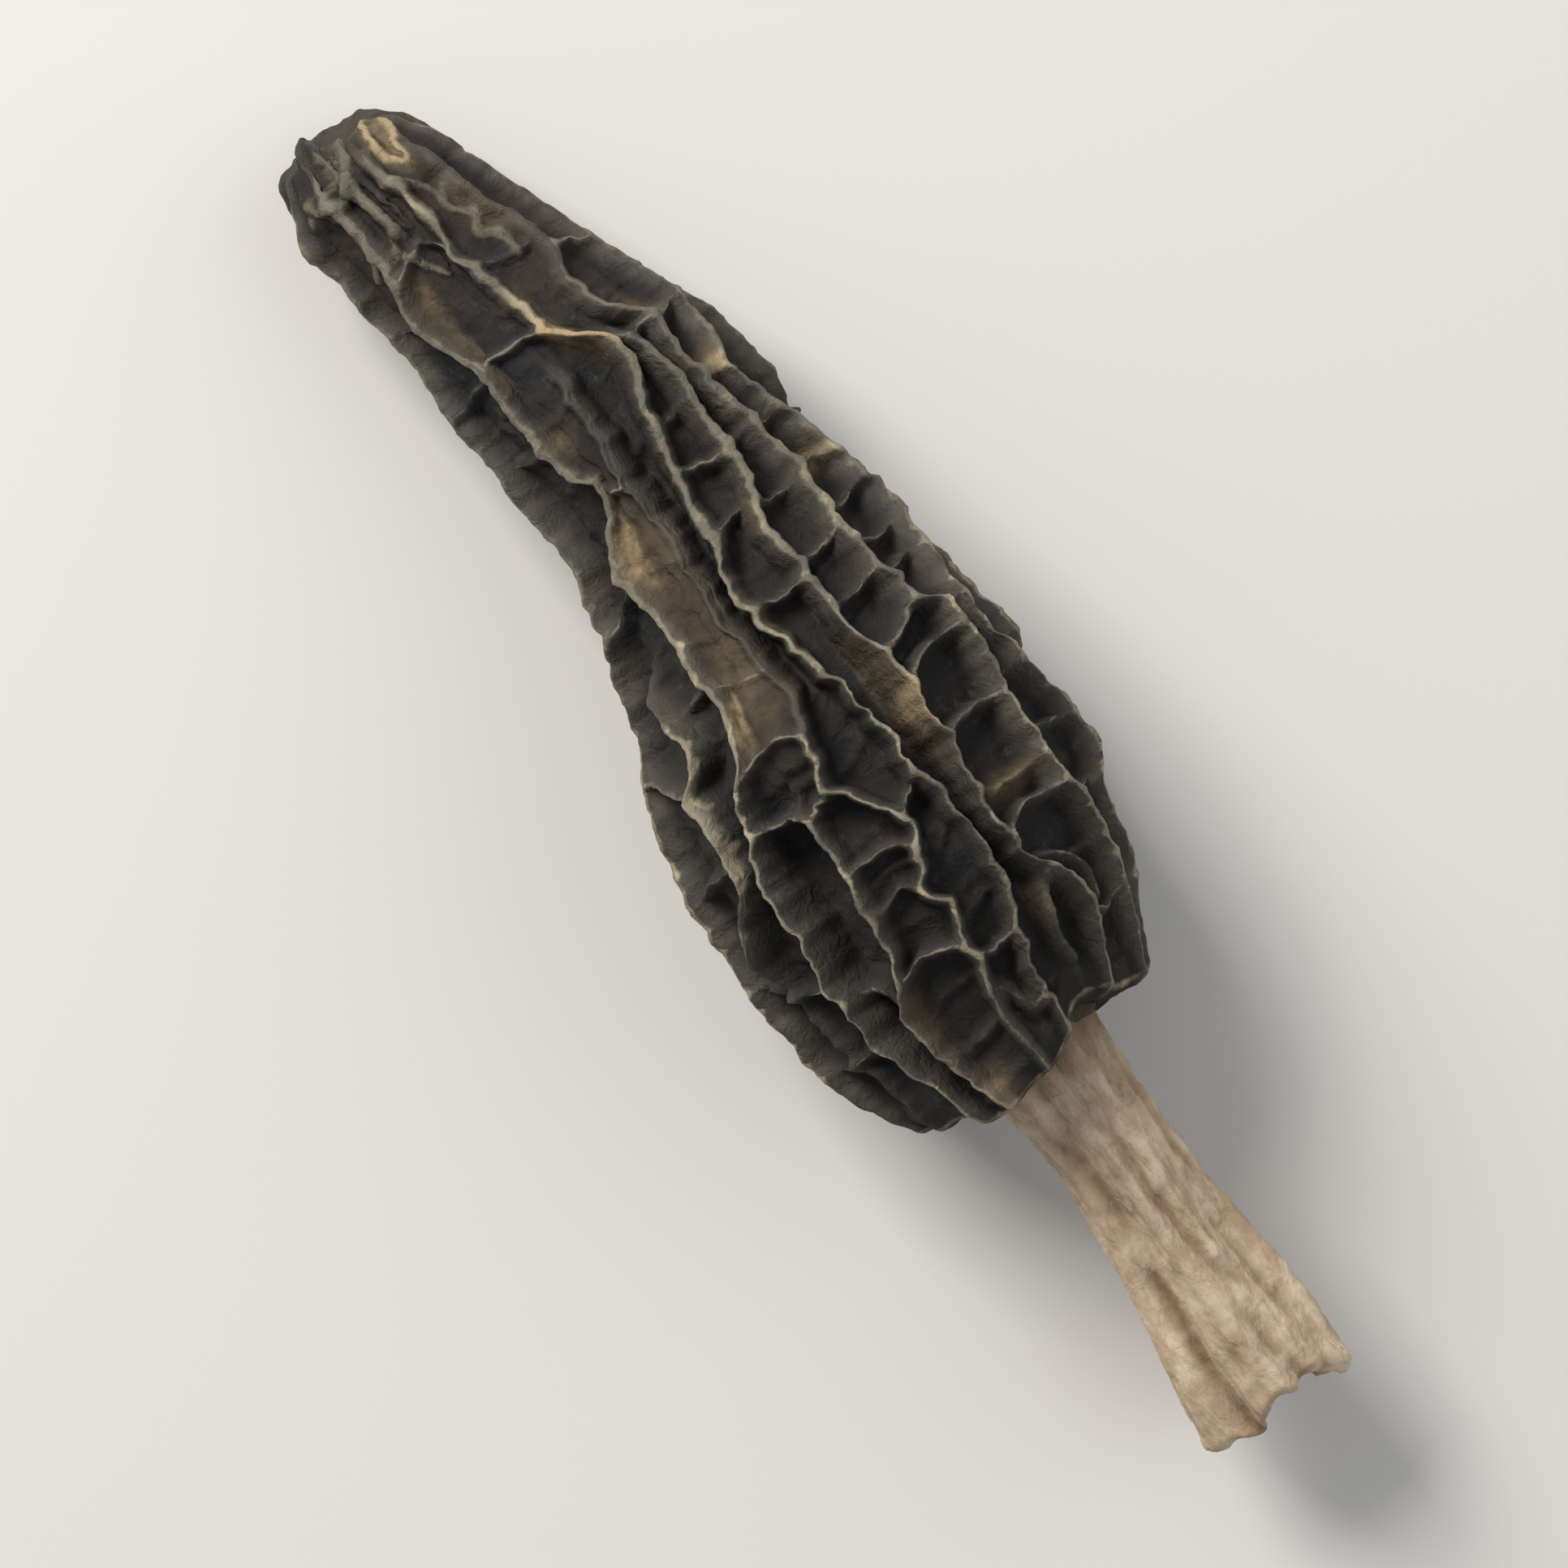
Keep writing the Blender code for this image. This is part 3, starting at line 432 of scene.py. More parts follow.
@dataclass(frozen=True)
class RidgeNet:
    """The net of long ridges and cross ribs that stands on the cap."""

    radius: Curve = Curve((
        (4.5, 5.7), (7, 6.1), (13.5, 6.9), (19, 8.1), (24.3, 8.7), (29.7, 8.9), (35, 9.85),
        (40.5, 11.1), (45.9, 12.7), (51, 12.9), (56.7, 12.95), (62, 11.95), (66, 10.8), (69, 9.3)))
    crest_wander: float = 0.9
    crest_unevenness: float = 0.16
    crest_wavelength: float = 6.5
    crest_half: float = 0.15
    crest_half_change: float = 0.09
    crest_notch: float = 0.07
    notch_wavelength: float = 1.5
    half_wavelength: float = 9.0
    crinkle: float = 0.13
    crinkle_wavelengths: tuple[float, float] = (2.1, 3.7)
    lean: float = 0.24
    lean_wavelength: float = 13.0
    knot_rise: float = 0.24
    knot_length: float = 0.75
    line_follow: float = 0.6
    weak_fade: float = 2.5
    wall_run: float = 0.95
    widest_wall: float = 0.42
    valley_blend: float = 0.1
    full_depth_radius: float = 9.5
    shallow_power: float = 1.3
    rung_pull: float = 0.4
    pull_length: float = 0.9
    rung_sag: float = 0.25
    rung_half: float = 0.05
    rung_run: float = 0.5
    rung_wave: float = 0.16
    rung_wavelength: float = 0.9
    rung_fade: float = 0.30
    faint_half: float = 0.26
    spur_half: float = 0.12
    spur_run: float = 0.9
    spur_fade: float = 0.08
    faint_fade: float = 0.26
    web: float = 0.42
    web_width: float = 0.35
    web_length: float = 0.8
    hem_start: float = 65.0
    hem_end: float = 68.4
    hem_share: float = 0.5
    fine_start: float = 32.0
    fine_end: float = 50.0
    fine_wall: float = 0.25
    fine_crest: float = 0.55
    fine_line: float = 0.75
    ridges: tuple[Ridge, ...] = SEEN_RIDGES + HIDDEN_RIDGES
    rungs: tuple[Rung, ...] = field(default_factory=lambda: SEEN_RUNGS + hidden_rungs())

    def pull(self, ridge: int, reach: Array) -> Array:
        """How far the rungs that end on a ridge draw its crest aside.

        Args:
            ridge: the ridge's number.
            reach: distances from the tip.

        Returns:
            Degrees towards -Y.
        """
        total = np.zeros_like(reach)
        for rung in self.rungs:
            if rung.start % RIDGE_COUNT == ridge:
                total += rung.height * np.exp(-np.abs(reach - rung.start_reach) / self.pull_length)
            if rung.end % RIDGE_COUNT == ridge:
                total -= rung.height * np.exp(-np.abs(reach - rung.end_reach) / self.pull_length)
        return np.degrees(self.rung_pull * total / self.radius.at(reach))

    def angle(self, number: int, reach: Array) -> Array:
        """Where a ridge's crest stands.

        Args:
            number: the ridge's number, counted on past the last one.
            reach: distances from the tip.

        Returns:
            Degrees from straight up, with whole turns for the numbers past the last.
        """
        turns, ridge = divmod(number, RIDGE_COUNT)
        wander = self.crest_wander * ripple(ridge, reach, self.crest_wavelength)
        short, long = self.crinkle_wavelengths
        zigzag = self.crinkle * (ripple(ridge + 23, reach, short) + ripple(ridge, reach, long))
        zigzag = np.degrees(zigzag / np.maximum(self.radius.at(reach), NARROW))
        path = Curve(self.ridges[ridge].path).at(reach)
        return path + wander + zigzag + self.pull(ridge, reach) + 360 * turns

    def strength(self, number: int, reach: Array) -> Array:
        """The share of its full height that a ridge has."""
        return Curve(self.ridges[number % RIDGE_COUNT].strength).at(reach)

    def rung_line(self, rung: Rung, place: Array) -> tuple[Array, Array]:
        """Where a rung's crest crosses a place.

        Args:
            rung: the cross rib.
            place: places round the cap.

        Returns:
            The crest's reach and its share of the pit's depth.
        """
        share = (place - rung.start) / (rung.end - rung.start)
        middle = 4 * share * (1 - share)
        reach = rung.start_reach + (rung.end_reach - rung.start_reach) * share + rung.bow * middle
        wave = self.rung_wave * middle * ripple(rung.start_reach, share, self.rung_wavelength)
        return reach + wave, rung.height * (1 - self.rung_sag * middle)

    def valley_depth(self, valley: int, share: Array, reach: Array, radius: Array) -> Array:
        """Depth of a valley's floor, blended into its neighbours' across the ridge lines.

        Args:
            valley: number of the ridge that the valley follows.
            share: how far across the valley, from 0 to 1.
            reach: distances from the tip.
            radius: radius over the ridges there.

        Returns:
            The depth below the crests.
        """
        here = Curve(VALLEY_DEPTHS[valley % RIDGE_COUNT]).at(reach)
        before = Curve(VALLEY_DEPTHS[(valley - 1) % RIDGE_COUNT]).at(reach)
        after = Curve(VALLEY_DEPTHS[(valley + 1) % RIDGE_COUNT]).at(reach)
        near_start = np.clip(1 - share / self.valley_blend, 0, 1)
        near_end = np.clip(1 - (1 - share) / self.valley_blend, 0, 1)
        depth = here + 0.5 * near_start * (before - here) + 0.5 * near_end * (after - here)
        shallow = np.minimum(1.0, radius / self.full_depth_radius) ** self.shallow_power
        closing = np.clip((reach - self.hem_start) / (self.hem_end - self.hem_start), 0, 1)
        return depth * shallow * (1 - self.hem_share * closing ** 2)

    def knots(self, number: int, reach: Array) -> Array:
        """How near a point on a ridge is to the end of a rung.

        Args:
            number: the ridge's number.
            reach: distances from the tip.

        Returns:
            1 at the end of a full rung and 0 far from any.
        """
        ridge = number % RIDGE_COUNT
        near = np.zeros_like(reach)
        for rung in self.rungs:
            for touched, end in ((rung.start, rung.start_reach), (rung.end, rung.end_reach)):
                if touched % RIDGE_COUNT == ridge:
                    closeness = rung.height * np.exp(-((reach - end) / self.knot_length) ** 2)
                    near = np.maximum(near, closeness)
        return near

    def across(self, valley: int) -> list[Rung]:
        """The rungs that cross a valley, from the tip down."""
        place = np.float64(valley + 0.5)
        crossing = [rung for rung in self.rungs if rung.start < place < rung.end]
        return sorted(crossing, key=lambda rung: float(self.rung_line(rung, place)[0]))

    def faint_ribs(self, valley: int) -> list[Rung]:
        """Low ribs between one valley's rungs, by a seeded rule.

        Args:
            valley: number of the ridge that the valley follows.

        Returns:
            The ribs, from the tip down.
        """
        draw = random.Random(FAINT_SEED + valley)
        ribs = []
        crossing = self.across(valley)
        for upper, lower in zip(crossing, crossing[1:]):
            ends = [[float(self.rung_line(rung, np.float64(valley + side))[0])
                     for rung in (upper, lower)] for side in (0.0, 1.0)]
            gap = ends[0][1] - ends[0][0]
            count = max(1, round(gap / FAINT_GAP) - 1)
            for number in range(count):
                share = (number + 1) / (count + 1) + draw.uniform(-FAINT_DRIFT, FAINT_DRIFT)
                start, end = (low + (high - low) * share for low, high in ends)
                slant = draw.uniform(-FAINT_SLANT, FAINT_SLANT)
                bow = draw.uniform(-FAINT_SLANT, FAINT_SLANT)
                ribs.append(Rung(valley, valley + 1, start - slant, end + slant, bow,
                                 draw.uniform(*FAINT_HEIGHTS)))
        return ribs


def hidden_rungs() -> tuple[Rung, ...]:
    """Rungs for the valleys round the back, by a seeded rule.

    Returns:
        The rungs.
    """
    draw = random.Random(RUNG_SEED)
    rungs = []
    for valley in HIDDEN_VALLEYS:
        reach = draw.uniform(*FIRST_HIDDEN_RUNG)
        while reach < LAST_HIDDEN_RUNG:
            slant = draw.uniform(-HIDDEN_RUNG_SLANT, HIDDEN_RUNG_SLANT)
            bow = draw.uniform(-HIDDEN_RUNG_BOW, HIDDEN_RUNG_BOW)
            height = draw.uniform(*HIDDEN_RUNG_HEIGHTS)
            rungs.append(Rung(valley, valley + 1, reach - slant, reach + slant, bow, height))
            reach += draw.uniform(*HIDDEN_RUNG_GAPS)
    return tuple(rungs)


@dataclass
class Surface:
    """A grid of surface values for one valley: rows run down the cap, columns across.

    ridge_gap and rib_gap are the distances to the nearest ridge's and rib's crest; rise is 1
    on a crest and 0 on a pit's floor; depth is how far the surface lies below the crests.
    """

    angle: Array
    reach: Array
    radius: Array
    ridge_gap: Array
    rib_gap: Array
    rise: Array
    depth: Array
    tan: Array


FINISH_LAYERS = ("ridge_gap", "rib_gap", "rise", "depth", "tan")


def joined(parts: list[Surface], axis: int) -> Surface:
    """Lay surfaces end to end along an axis of their grids."""
    names = Surface.__dataclass_fields__
    return Surface(*(np.concatenate([getattr(part, name) for part in parts], axis=axis)
                     for name in names))


@dataclass
class MorelCap:
    """The ridged cap: its outline, its rows and columns, and its mesh."""

    spine: Spine
    furrows: Furrows
    net: RidgeNet = field(default_factory=RidgeNet)
    tip_outline: Points = (
        (0.4, 0.8), (0.1, 1.7), (0.0, 2.6), (0.2, 3.5), (0.9, 4.2), (1.9, 4.8), (3.1, 5.3),
        (4.5, 5.7))
    tip_dent_reach: float = 0.6
    tip_crumple: float = 0.35
    tip_folds: int = 3
    tip_fold_phase: float = 1.0
    tip_rise: float = 0.5
    tip_fade: float = 0.9
    netted_from: float = 2.6
    netted_to: float = 5.4
    least_radius: float = 0.6
    tip_lean: float = 0.38
    tip_lean_end: float = 7.0
    tip_lobes: tuple[Triple, ...] = (
        (-30, 28, 2.3), (44, 22, 0.9), (120, 26, 0.5), (-120, 34, 0.6), (178, 24, 0.4))
    tip_lobe_radius: float = 3.3
    tip_lobe_width: float = 1.6
    frills_end: float = 15.0
    frills_foot: float = 6.0
    frills_full: float = 8.4
    frill_line: float = 0.27
    frill_tan: float = 0.42
    frill_groove_fade: float = 0.3
    facing_from: float = -0.3
    facing_gain: float = 1.8
    facing_fade: float = 0.9
    frill_drifts: tuple[tuple[float, float], ...] = ((560.0, 0.28), (1500.0, 0.14))
    curls_end: float = 7.0
    pleat_height: float = 0.11
    pleat_scales: Triple = (1000.0, 360.0, 360.0)
    crease_height: float = 0.10
    crease_scale: float = 620.0
    swell_height: float = 0.10
    swell_scale: float = 300.0
    tip_swell_height: float = 0.45
    grain_height: float = 0.04
    grain_scale: float = 1700.0
    curl_height: float = 0.4
    curl_scale: float = 430.0
    curl_shift: Triple = (3.1, 0.7, 5.2)
    fine_curl_share: float = 0.5
    fine_curl_scale: float = 900.0
    fine_curl_shift: Triple = (0.4, 2.7, 1.2)
    first_reach: float = 5.6
    last_reach: float = 68.4
    coarse_rows: int = 58
    skirt_start: float = 56.0
    skirt_waves: tuple[Triple, ...] = (
        (2, 0.9, 0.45), (5, 2.0, 0.35), (9, 0.4, 0.25))
    skirt_lobes: tuple[Triple, ...] = ((-34, 28, 1.7), (36, 26, -1.7))
    tuck_outline: Points = (
        (68.9, 9.35), (69.5, 8.8), (70.0, 8.2), (70.2, 7.6), (70.1, 6.7), (69.6, 5.6),
        (69.4, 4.6), (70.4, 3.3))
    groove_share: float = 0.3
    groove_fade: float = 1.2
    groove_tan: float = 0.6
    tuck_depth: float = 0.8
    hem_radius: float = 8.4
    hem_gap: float = 0.1
    lip_height: float = 0.16
    lip_width: float = 0.35
    hollow_outline: Points = (
        (71.0, 2.9), (70.8, 2.5), (70.2, 2.2), (68.0, 2.5), (55.0, 4.3), (20.0, 3.0))
    # A depth that only the finish reads: it paints the hollow's lining dark as shade.
    hollow_end_reach: float = 9.0
    hollow_painted_shade: float = 2.0
    follow_start: float = 60.0
    follow_length: float = 12.0
    column_shares: Points = ((0.0, 5), (0.15, 7), (0.5, 7), (0.85, 5))
    ridge_hold: float = 0.35
    nudge: float = 1e-6
    cap_splits: int = 4
    tip_splits: int = 3
    tuck_splits: int = 2

    def coarse_reaches(self) -> Array:
        """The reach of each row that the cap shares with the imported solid."""
        return np.linspace(self.first_reach, self.last_reach, self.coarse_rows)

    def rung_rows(self) -> dict[Rung, int]:
        """The coarse row that each rung's crest takes, kept apart from its neighbours.

        Returns:
            Each rung's row.
        """
        reaches = self.coarse_reaches()
        step = reaches[1] - reaches[0]
        ordered = sorted(self.net.rungs,
                         key=lambda rung: rung.start_reach + rung.end_reach + 2 * rung.bow)
        rows: dict[Rung, int] = {}
        for rung in ordered:
            middle = self.net.rung_line(rung, np.float64((rung.start + rung.end) / 2))[0]
            row = round((float(middle) - reaches[0]) / step)
            for other, taken in rows.items():
                if other.start < rung.end and rung.start < other.end:
                    row = max(row, taken + ROWS_BETWEEN_RUNGS)
            rows[rung] = row
        return rows

    def column_reaches(self, place: float, rows: dict[Rung, int]) -> Array:
        """The reaches of one column's vertices, with a vertex on each rung that it meets.

        Args:
            place: the column's place round the cap.
            rows: each rung's coarse row.

        Returns:
            One reach for each fine row of the cap.
        """
        reaches = self.coarse_reaches()
        crossing = [rung for rung in self.net.rungs if rung.start < place < rung.end]
        lines = sorted((float(self.net.rung_line(rung, np.float64(place))[0]), rows[rung])
                       for rung in crossing)
        anchors = [(0, reaches[0])]
        for line, row in lines:
            if anchors[-1][0] < row < len(reaches) - 1 and line > anchors[-1][1]:
                anchors.append((row, line))
        anchors.append((len(reaches) - 1, reaches[-1]))
        fine = np.arange((len(reaches) - 1) * self.cap_splits + 1) / self.cap_splits
        return np.interp(fine, [anchor[0] for anchor in anchors], [anchor[1] for anchor in anchors])

    def ridge_reaches(self, ridge: int, rows: dict[Rung, int]) -> Array:
        """The reaches down a ridge's own column, half-way between its two sides'."""
        before = self.column_reaches((ridge - self.nudge) % RIDGE_COUNT, rows)
        after = self.column_reaches((ridge + self.nudge) % RIDGE_COUNT, rows)
        return (before + after) / 2

    def valley_reaches(self, valley: int, share: Array, rows: dict[Rung, int]) -> Array:
        """The reaches over one valley, drawn smoothly from its ridges to its rungs.

        Args:
            valley: number of the ridge that the valley follows.
            share: how far across the valley, from 0 to 1, for each column.
            rows: each rung's coarse row.

        Returns:
            The reach at each fine row and column.
        """
        own = np.stack([self.column_reaches(valley + max(float(s), self.nudge), rows)
                        for s in share], axis=1)
        near_start = 1 - smooth_step(0.0, self.ridge_hold, share)
        near_end = 1 - smooth_step(0.0, self.ridge_hold, 1 - share)
        start = self.ridge_reaches(valley, rows)[:, None]
        end = self.ridge_reaches(valley + 1, rows)[:, None]
        return own * (1 - near_start - near_end) + start * near_start + end * near_end

    def shares(self) -> Array:
        """The fine columns across one valley, as shares of the way."""
        starts = [share for share, _ in self.column_shares] + [1.0]
        return np.concatenate([
            np.linspace(start, end, int(count), endpoint=False)
            for (start, count), end in zip(self.column_shares, starts[1:])])

    def tip_shift(self, angle: Array, reach: Array, radius: Array) -> Array:
        """How far the tip's lean and lobes move points along the mushroom.

        Args:
            angle: radians from straight up.
            reach: distances from the tip.
            radius: distances from the middle line.

        Returns:
            The shift towards the stem.
        """
        fade = np.maximum(0.0, 1 - np.maximum(reach, 0.0) / self.tip_lean_end) ** 2
        ring = np.exp(-((radius - self.tip_lobe_radius) / self.tip_lobe_width) ** 2)
        lean = self.tip_lean * radius * np.cos(angle)
        return (lean - ring * lobes(angle, self.tip_lobes)) * fade

    def skirt_shift(self, angle: Array, reach: Array) -> Array:
        """How far the cap's lower edge is drawn down or up, for angles in radians."""
        grown = np.clip((reach - self.skirt_start) / (self.last_reach - self.skirt_start), 0, 1)
        return (waves(angle, self.skirt_waves) + lobes(angle, self.skirt_lobes)) * grown * grown

    def relief(self, valley: int, share: Array, reach: Array, radius: Array) -> Surface:
        """The net's surface over one valley.

        Args:
            valley: number of the ridge that the valley follows.
            share: how far across the valley, from 0 to 1, for each column.
            reach: distance from the tip at each row and column.
            radius: radius over the ridges at each row and column.

        Returns:
            The surface, with its radius taken down to the pits.
        """
        net = self.net
        place = valley + share
        shown = np.maximum(radius, NARROW)
        start = net.angle(valley, reach)
        end = net.angle(valley + 1, reach)
        width = np.radians(end - start) * shown
        fine = smooth_step(net.fine_start, net.fine_end, reach)
        run = np.minimum(net.wall_run * (1 - net.fine_wall * fine), net.widest_wall * width)
        wall = np.zeros_like(reach)
        gap = np.full_like(reach, FAR)
        sway = np.zeros_like(reach)
        lifted = np.zeros_like(reach)
        for number, away in ((valley, share), (valley + 1, 1 - share)):
            ridge = number % RIDGE_COUNT
            strength = net.strength(number, reach)
            half = net.crest_half_change * ripple(ridge + 7, reach, net.half_wavelength)
            half = (net.crest_half + half) * (1 - net.fine_crest * fine)
            side = blade(half, run, away * width)
            wall = np.maximum(wall, strength * side)
            gap = np.minimum(gap, away * width - net.line_follow * (half - net.crest_half)
                             + net.weak_fade * (1 - strength))
            notch = net.crest_notch * ripple(ridge + 31, reach, net.notch_wavelength) * side ** 3
            lifted = lifted + strength * (net.knot_rise * net.knots(number, reach) * side + notch)
            leaned = net.lean * ripple(ridge + 11, reach, net.lean_wavelength)
            sway = sway + leaned * strength * side ** 1.2
        ribs, rib_gap = self.rib_shares(valley, place, reach, width)
        rise = 1 - (1 - wall) * (1 - ribs)
        flare = net.web * np.exp(-(rib_gap / net.web_width) ** 2 - gap / net.web_length)
        depth = net.valley_depth(valley, share, reach, radius) * (1 - rise)
        uneven = ((1 - share) * ripple(valley % RIDGE_COUNT + 5, reach, net.crest_wavelength)
                  + share * ripple((valley + 1) % RIDGE_COUNT + 5, reach, net.crest_wavelength))
        uneven = net.crest_unevenness * uneven
        lifted = lifted * np.minimum(1, radius / net.full_depth_radius)
        angle = start + (end - start) * share + np.degrees(sway / shown)
        gap = (gap - flare) * (1 + net.fine_line * fine)
        return Surface(np.radians(angle), reach, radius - depth - uneven + lifted, gap,
                       rib_gap, rise, depth, tan_at(place, reach))

    def rib_shares(self, valley: int, place: Array, reach: Array,
                   width: Array) -> tuple[Array, Array]:
        """How high the rungs, the spurs and the faint ribs of a valley stand.

        Args:
            valley: number of the ridge that the valley follows.
            place: place of each column.
            reach: distance from the tip at each row and column.
            width: the valley's width there.

        Returns:
            The share of the pit's depth that they fill, and the gap to the nearest crest.
        """
        net = self.net
        crests = []
        for rung in net.across(valley):
            line, height = net.rung_line(rung, place)
            apart = np.abs(reach - line)
            raised = height * blade(net.rung_half, net.rung_run, apart)
            crests.append((apart, raised, net.rung_fade * (1 - height)))
        for spur in (spur for spur in SPURS if spur.valley == valley):
            apart = np.full_like(reach, FAR)
            for spot, level in zip(*drawn_line(spur.points)):
                apart = np.minimum(apart, np.hypot((place - spot) * width, reach - level))
            raised = spur.height * blade(net.spur_half, net.spur_run, apart)
            crests.append((apart, raised, net.spur_fade))
        for rib in net.faint_ribs(valley):
            line, height = net.rung_line(rib, place)
            apart = np.abs(reach - line)
            crests.append((apart, height * np.exp(-(apart / net.faint_half) ** 2), net.faint_fade))
        ribs = np.zeros_like(reach)
        gap = np.full_like(reach, FAR)
        for apart, raised, fade in crests:
            ribs = np.maximum(ribs, raised)
            gap = np.minimum(gap, apart + fade)
        return ribs, gap

    def tip_rows(self, valley: int, share: Array) -> Surface:
        """The crumpled tip over one valley, from the pole down to the cap's first row.

        Args:
            valley: number of the ridge that the valley follows.
            share: how far across the valley, from 0 to 1, for each column.

        Returns:
            The tip's surface.
        """
        first = (self.first_reach, float(self.net.radius.at(self.first_reach)))
        reach, radius = along_outline(self.tip_outline + (first,), self.tip_splits, len(share))
        reach, radius = reach[:-1], radius[:-1]
        full = np.maximum(radius, self.least_radius)
        shape = self.relief(valley, share, reach, full)
        grown = np.clip(radius / self.tip_outline[-1][1], 0, 1)
        netted = smooth_step(self.netted_from, self.netted_to, radius)
        shape.ridge_gap = shape.ridge_gap + self.tip_fade * (1 - netted)
        shape.rib_gap = shape.rib_gap + self.tip_fade * (1 - netted)
        shape.rise = self.tip_rise + (shape.rise - self.tip_rise) * netted
        shape.depth = shape.depth * netted
        shape.tan = shape.tan * netted
        folds = np.sin(self.tip_folds * shape.angle + self.tip_fold_phase + reach)
        crumple = self.tip_crumple * grown * folds
        low = (full - shape.radius) * grown ** 3
        shape.reach = reach + self.tip_shift(shape.angle, reach, radius)
        shape.radius = radius + crumple - low
        return shape

    def cap_rows(self, valley: int, share: Array, rows: dict[Rung, int]) -> Surface:
        """The cap proper over one valley.

        Args:
            valley: number of the ridge that the valley follows.
            share: how far across the valley, from 0 to 1, for each column.
            rows: each rung's coarse row.

        Returns:
            The cap's surface.
        """
        reach = self.valley_reaches(valley, share, rows)
        shape = self.relief(valley, share, reach, self.net.radius.at(reach))
        shape.reach = (reach + self.tip_shift(shape.angle, reach, shape.radius)
                       + self.skirt_shift(shape.angle, reach))
        return shape

    def tuck_rows(self, valley: int, share: Array) -> Surface:
        """The cap's lower edge where it turns in to the stem, over one valley.

        Args:
            valley: number of the ridge that the valley follows.
            share: how far across the valley, from 0 to 1, for each column.

        Returns:
            The edge's surface.
        """
        first = (self.last_reach, float(self.net.radius.at(self.last_reach)))
        reach, radius = along_outline((first,) + self.tuck_outline, self.tuck_splits, len(share))
        reach, radius = reach[1:], radius[1:]
        outer = self.tuck_outline[0][1]
        inner = self.tuck_outline[-1][1]
        turned = np.clip((radius - inner) / (outer - inner), 0, 1)
        last = np.full_like(reach, self.last_reach)
        shape = self.relief(valley, share, last, np.full_like(reach, first[1]))
        low = (first[1] - shape.radius) * turned * self.tuck_depth
        furrow = 1 + (self.furrows.share(shape.angle, reach) - 1) * (1 - turned)
        hem = np.abs(radius - self.hem_radius)
        lip = self.lip_height * np.exp(-(hem / self.lip_width) ** 2)
        drawn = self.groove_share + (1 - self.groove_share) * turned
        shape.radius = radius * furrow - low + lip
        shape.reach = reach + self.skirt_shift(shape.angle, last) * drawn + lip
        inside = (1 - turned) ** 2
        shape.ridge_gap = np.minimum(shape.ridge_gap + self.groove_fade * inside,
                                     hem + self.hem_gap)
        shape.tan = np.maximum(shape.tan, self.groove_tan * inside)
        shape.rise = shape.rise * turned
        return shape

    def hollow_rows(self, shape: Surface) -> Surface:
        """The wall of the hollow inside the cap, below one valley's columns, with painted shade.

        Args:
            shape: the lower edge's surface there.

        Returns:
            The hollow's surface.
        """
        angle = np.repeat(shape.angle[-1:, :], len(self.hollow_outline), axis=0)
        ones = np.ones_like(angle)
        reach = ones * np.array([point[0] for point in self.hollow_outline])[:, None]
        radius = ones * np.array([point[1] for point in self.hollow_outline])[:, None]
        follow = np.clip((reach - self.follow_start) / self.follow_length, 0, 1)
        radius = radius * (1 + (self.furrows.share(angle, reach) - 1) * follow)
        far = FAR * ones
        none = 0 * ones
        # The hollow's depth value only darkens its colour like a deep pit: painted shade.
        return Surface(angle, reach, radius, far, far, none, self.hollow_painted_shade * ones, none)

    def surface(self) -> Surface:
        """The whole cap's surface, from the tip's pole to the hollow's end.

        Returns:
            All valleys' surfaces, side by side.
        """
        share = self.shares()
        rows = self.rung_rows()
        valleys = []
        for valley in range(RIDGE_COUNT):
            tuck = self.tuck_rows(valley, share)
            parts = [self.tip_rows(valley, share), self.cap_rows(valley, share, rows), tuck,
                     self.hollow_rows(tuck)]
            valleys.append(joined(parts, axis=0))
        return joined(valleys, axis=1)

    def frills(self, reach: Array, side: Array) -> tuple[Array, Array, Array]:
        """The frills and presses of the curled tip at points seen from above.

        Args:
            reach: distances from the tip.
            side: distances towards -Y from the tip's own line.

        Returns:
            The height, the gap to the nearest crest and the tan tone.
        """
        height = np.zeros_like(reach)
        gap = np.full_like(reach, FAR)
        tan = np.zeros_like(reach)
        for frill in TIP_FRILLS:
            line = drawn_line(frill.points)
            apart = np.min(np.hypot(reach[:, None] - line[0], side[:, None] - line[1]), axis=1)
            raised = frill.height * np.exp(-(apart / frill.width) ** 2)
            groove = frill.height < 0
            height = height + raised if groove else np.maximum(height, raised)
            fade = self.frill_groove_fade if groove else 0.0
            gap = np.minimum(gap, apart * self.frill_line / frill.width + fade)
            tan = np.maximum(tan, frill.tan * np.exp(-(apart / self.frill_tan) ** 2))
        for press in TIP_PRESSES:
            away = np.hypot(reach - press.reach, side - press.side) / press.radius
            height = height + press.height * np.exp(-away ** 4)
        return height, gap, tan

    def wrinkle(self, place: Vector, rise: float, tip: float) -> float:
        """Height of the dry skin's wrinkles at a point.

        Args:
            place: the point, in metres.
            rise: 1 on a crest and 0 on a pit's floor.
            tip: 1 at the tip and 0 on the rest.

        Returns:
            The height in millimetres.
        """
        pleats = noise.noise(Vector([at * scale for at, scale in zip(place, self.pleat_scales)]))
        creases = fold(place * self.crease_scale)
        swells = noise.noise(place * self.swell_scale)
        grain = noise.noise(place * self.grain_scale)
        fine_curls = fold(place * self.fine_curl_scale + Vector(self.fine_curl_shift))
        curls = (fold(place * self.curl_scale + Vector(self.curl_shift))
                 + self.fine_curl_share * fine_curls)
        swell = self.swell_height + self.tip_swell_height * tip * tip
        return (self.pleat_height * pleats * (1 - 0.5 * rise)
                + self.crease_height * creases * (1 - rise)
                + swell * swells + self.grain_height * grain + self.curl_height * tip * curls)

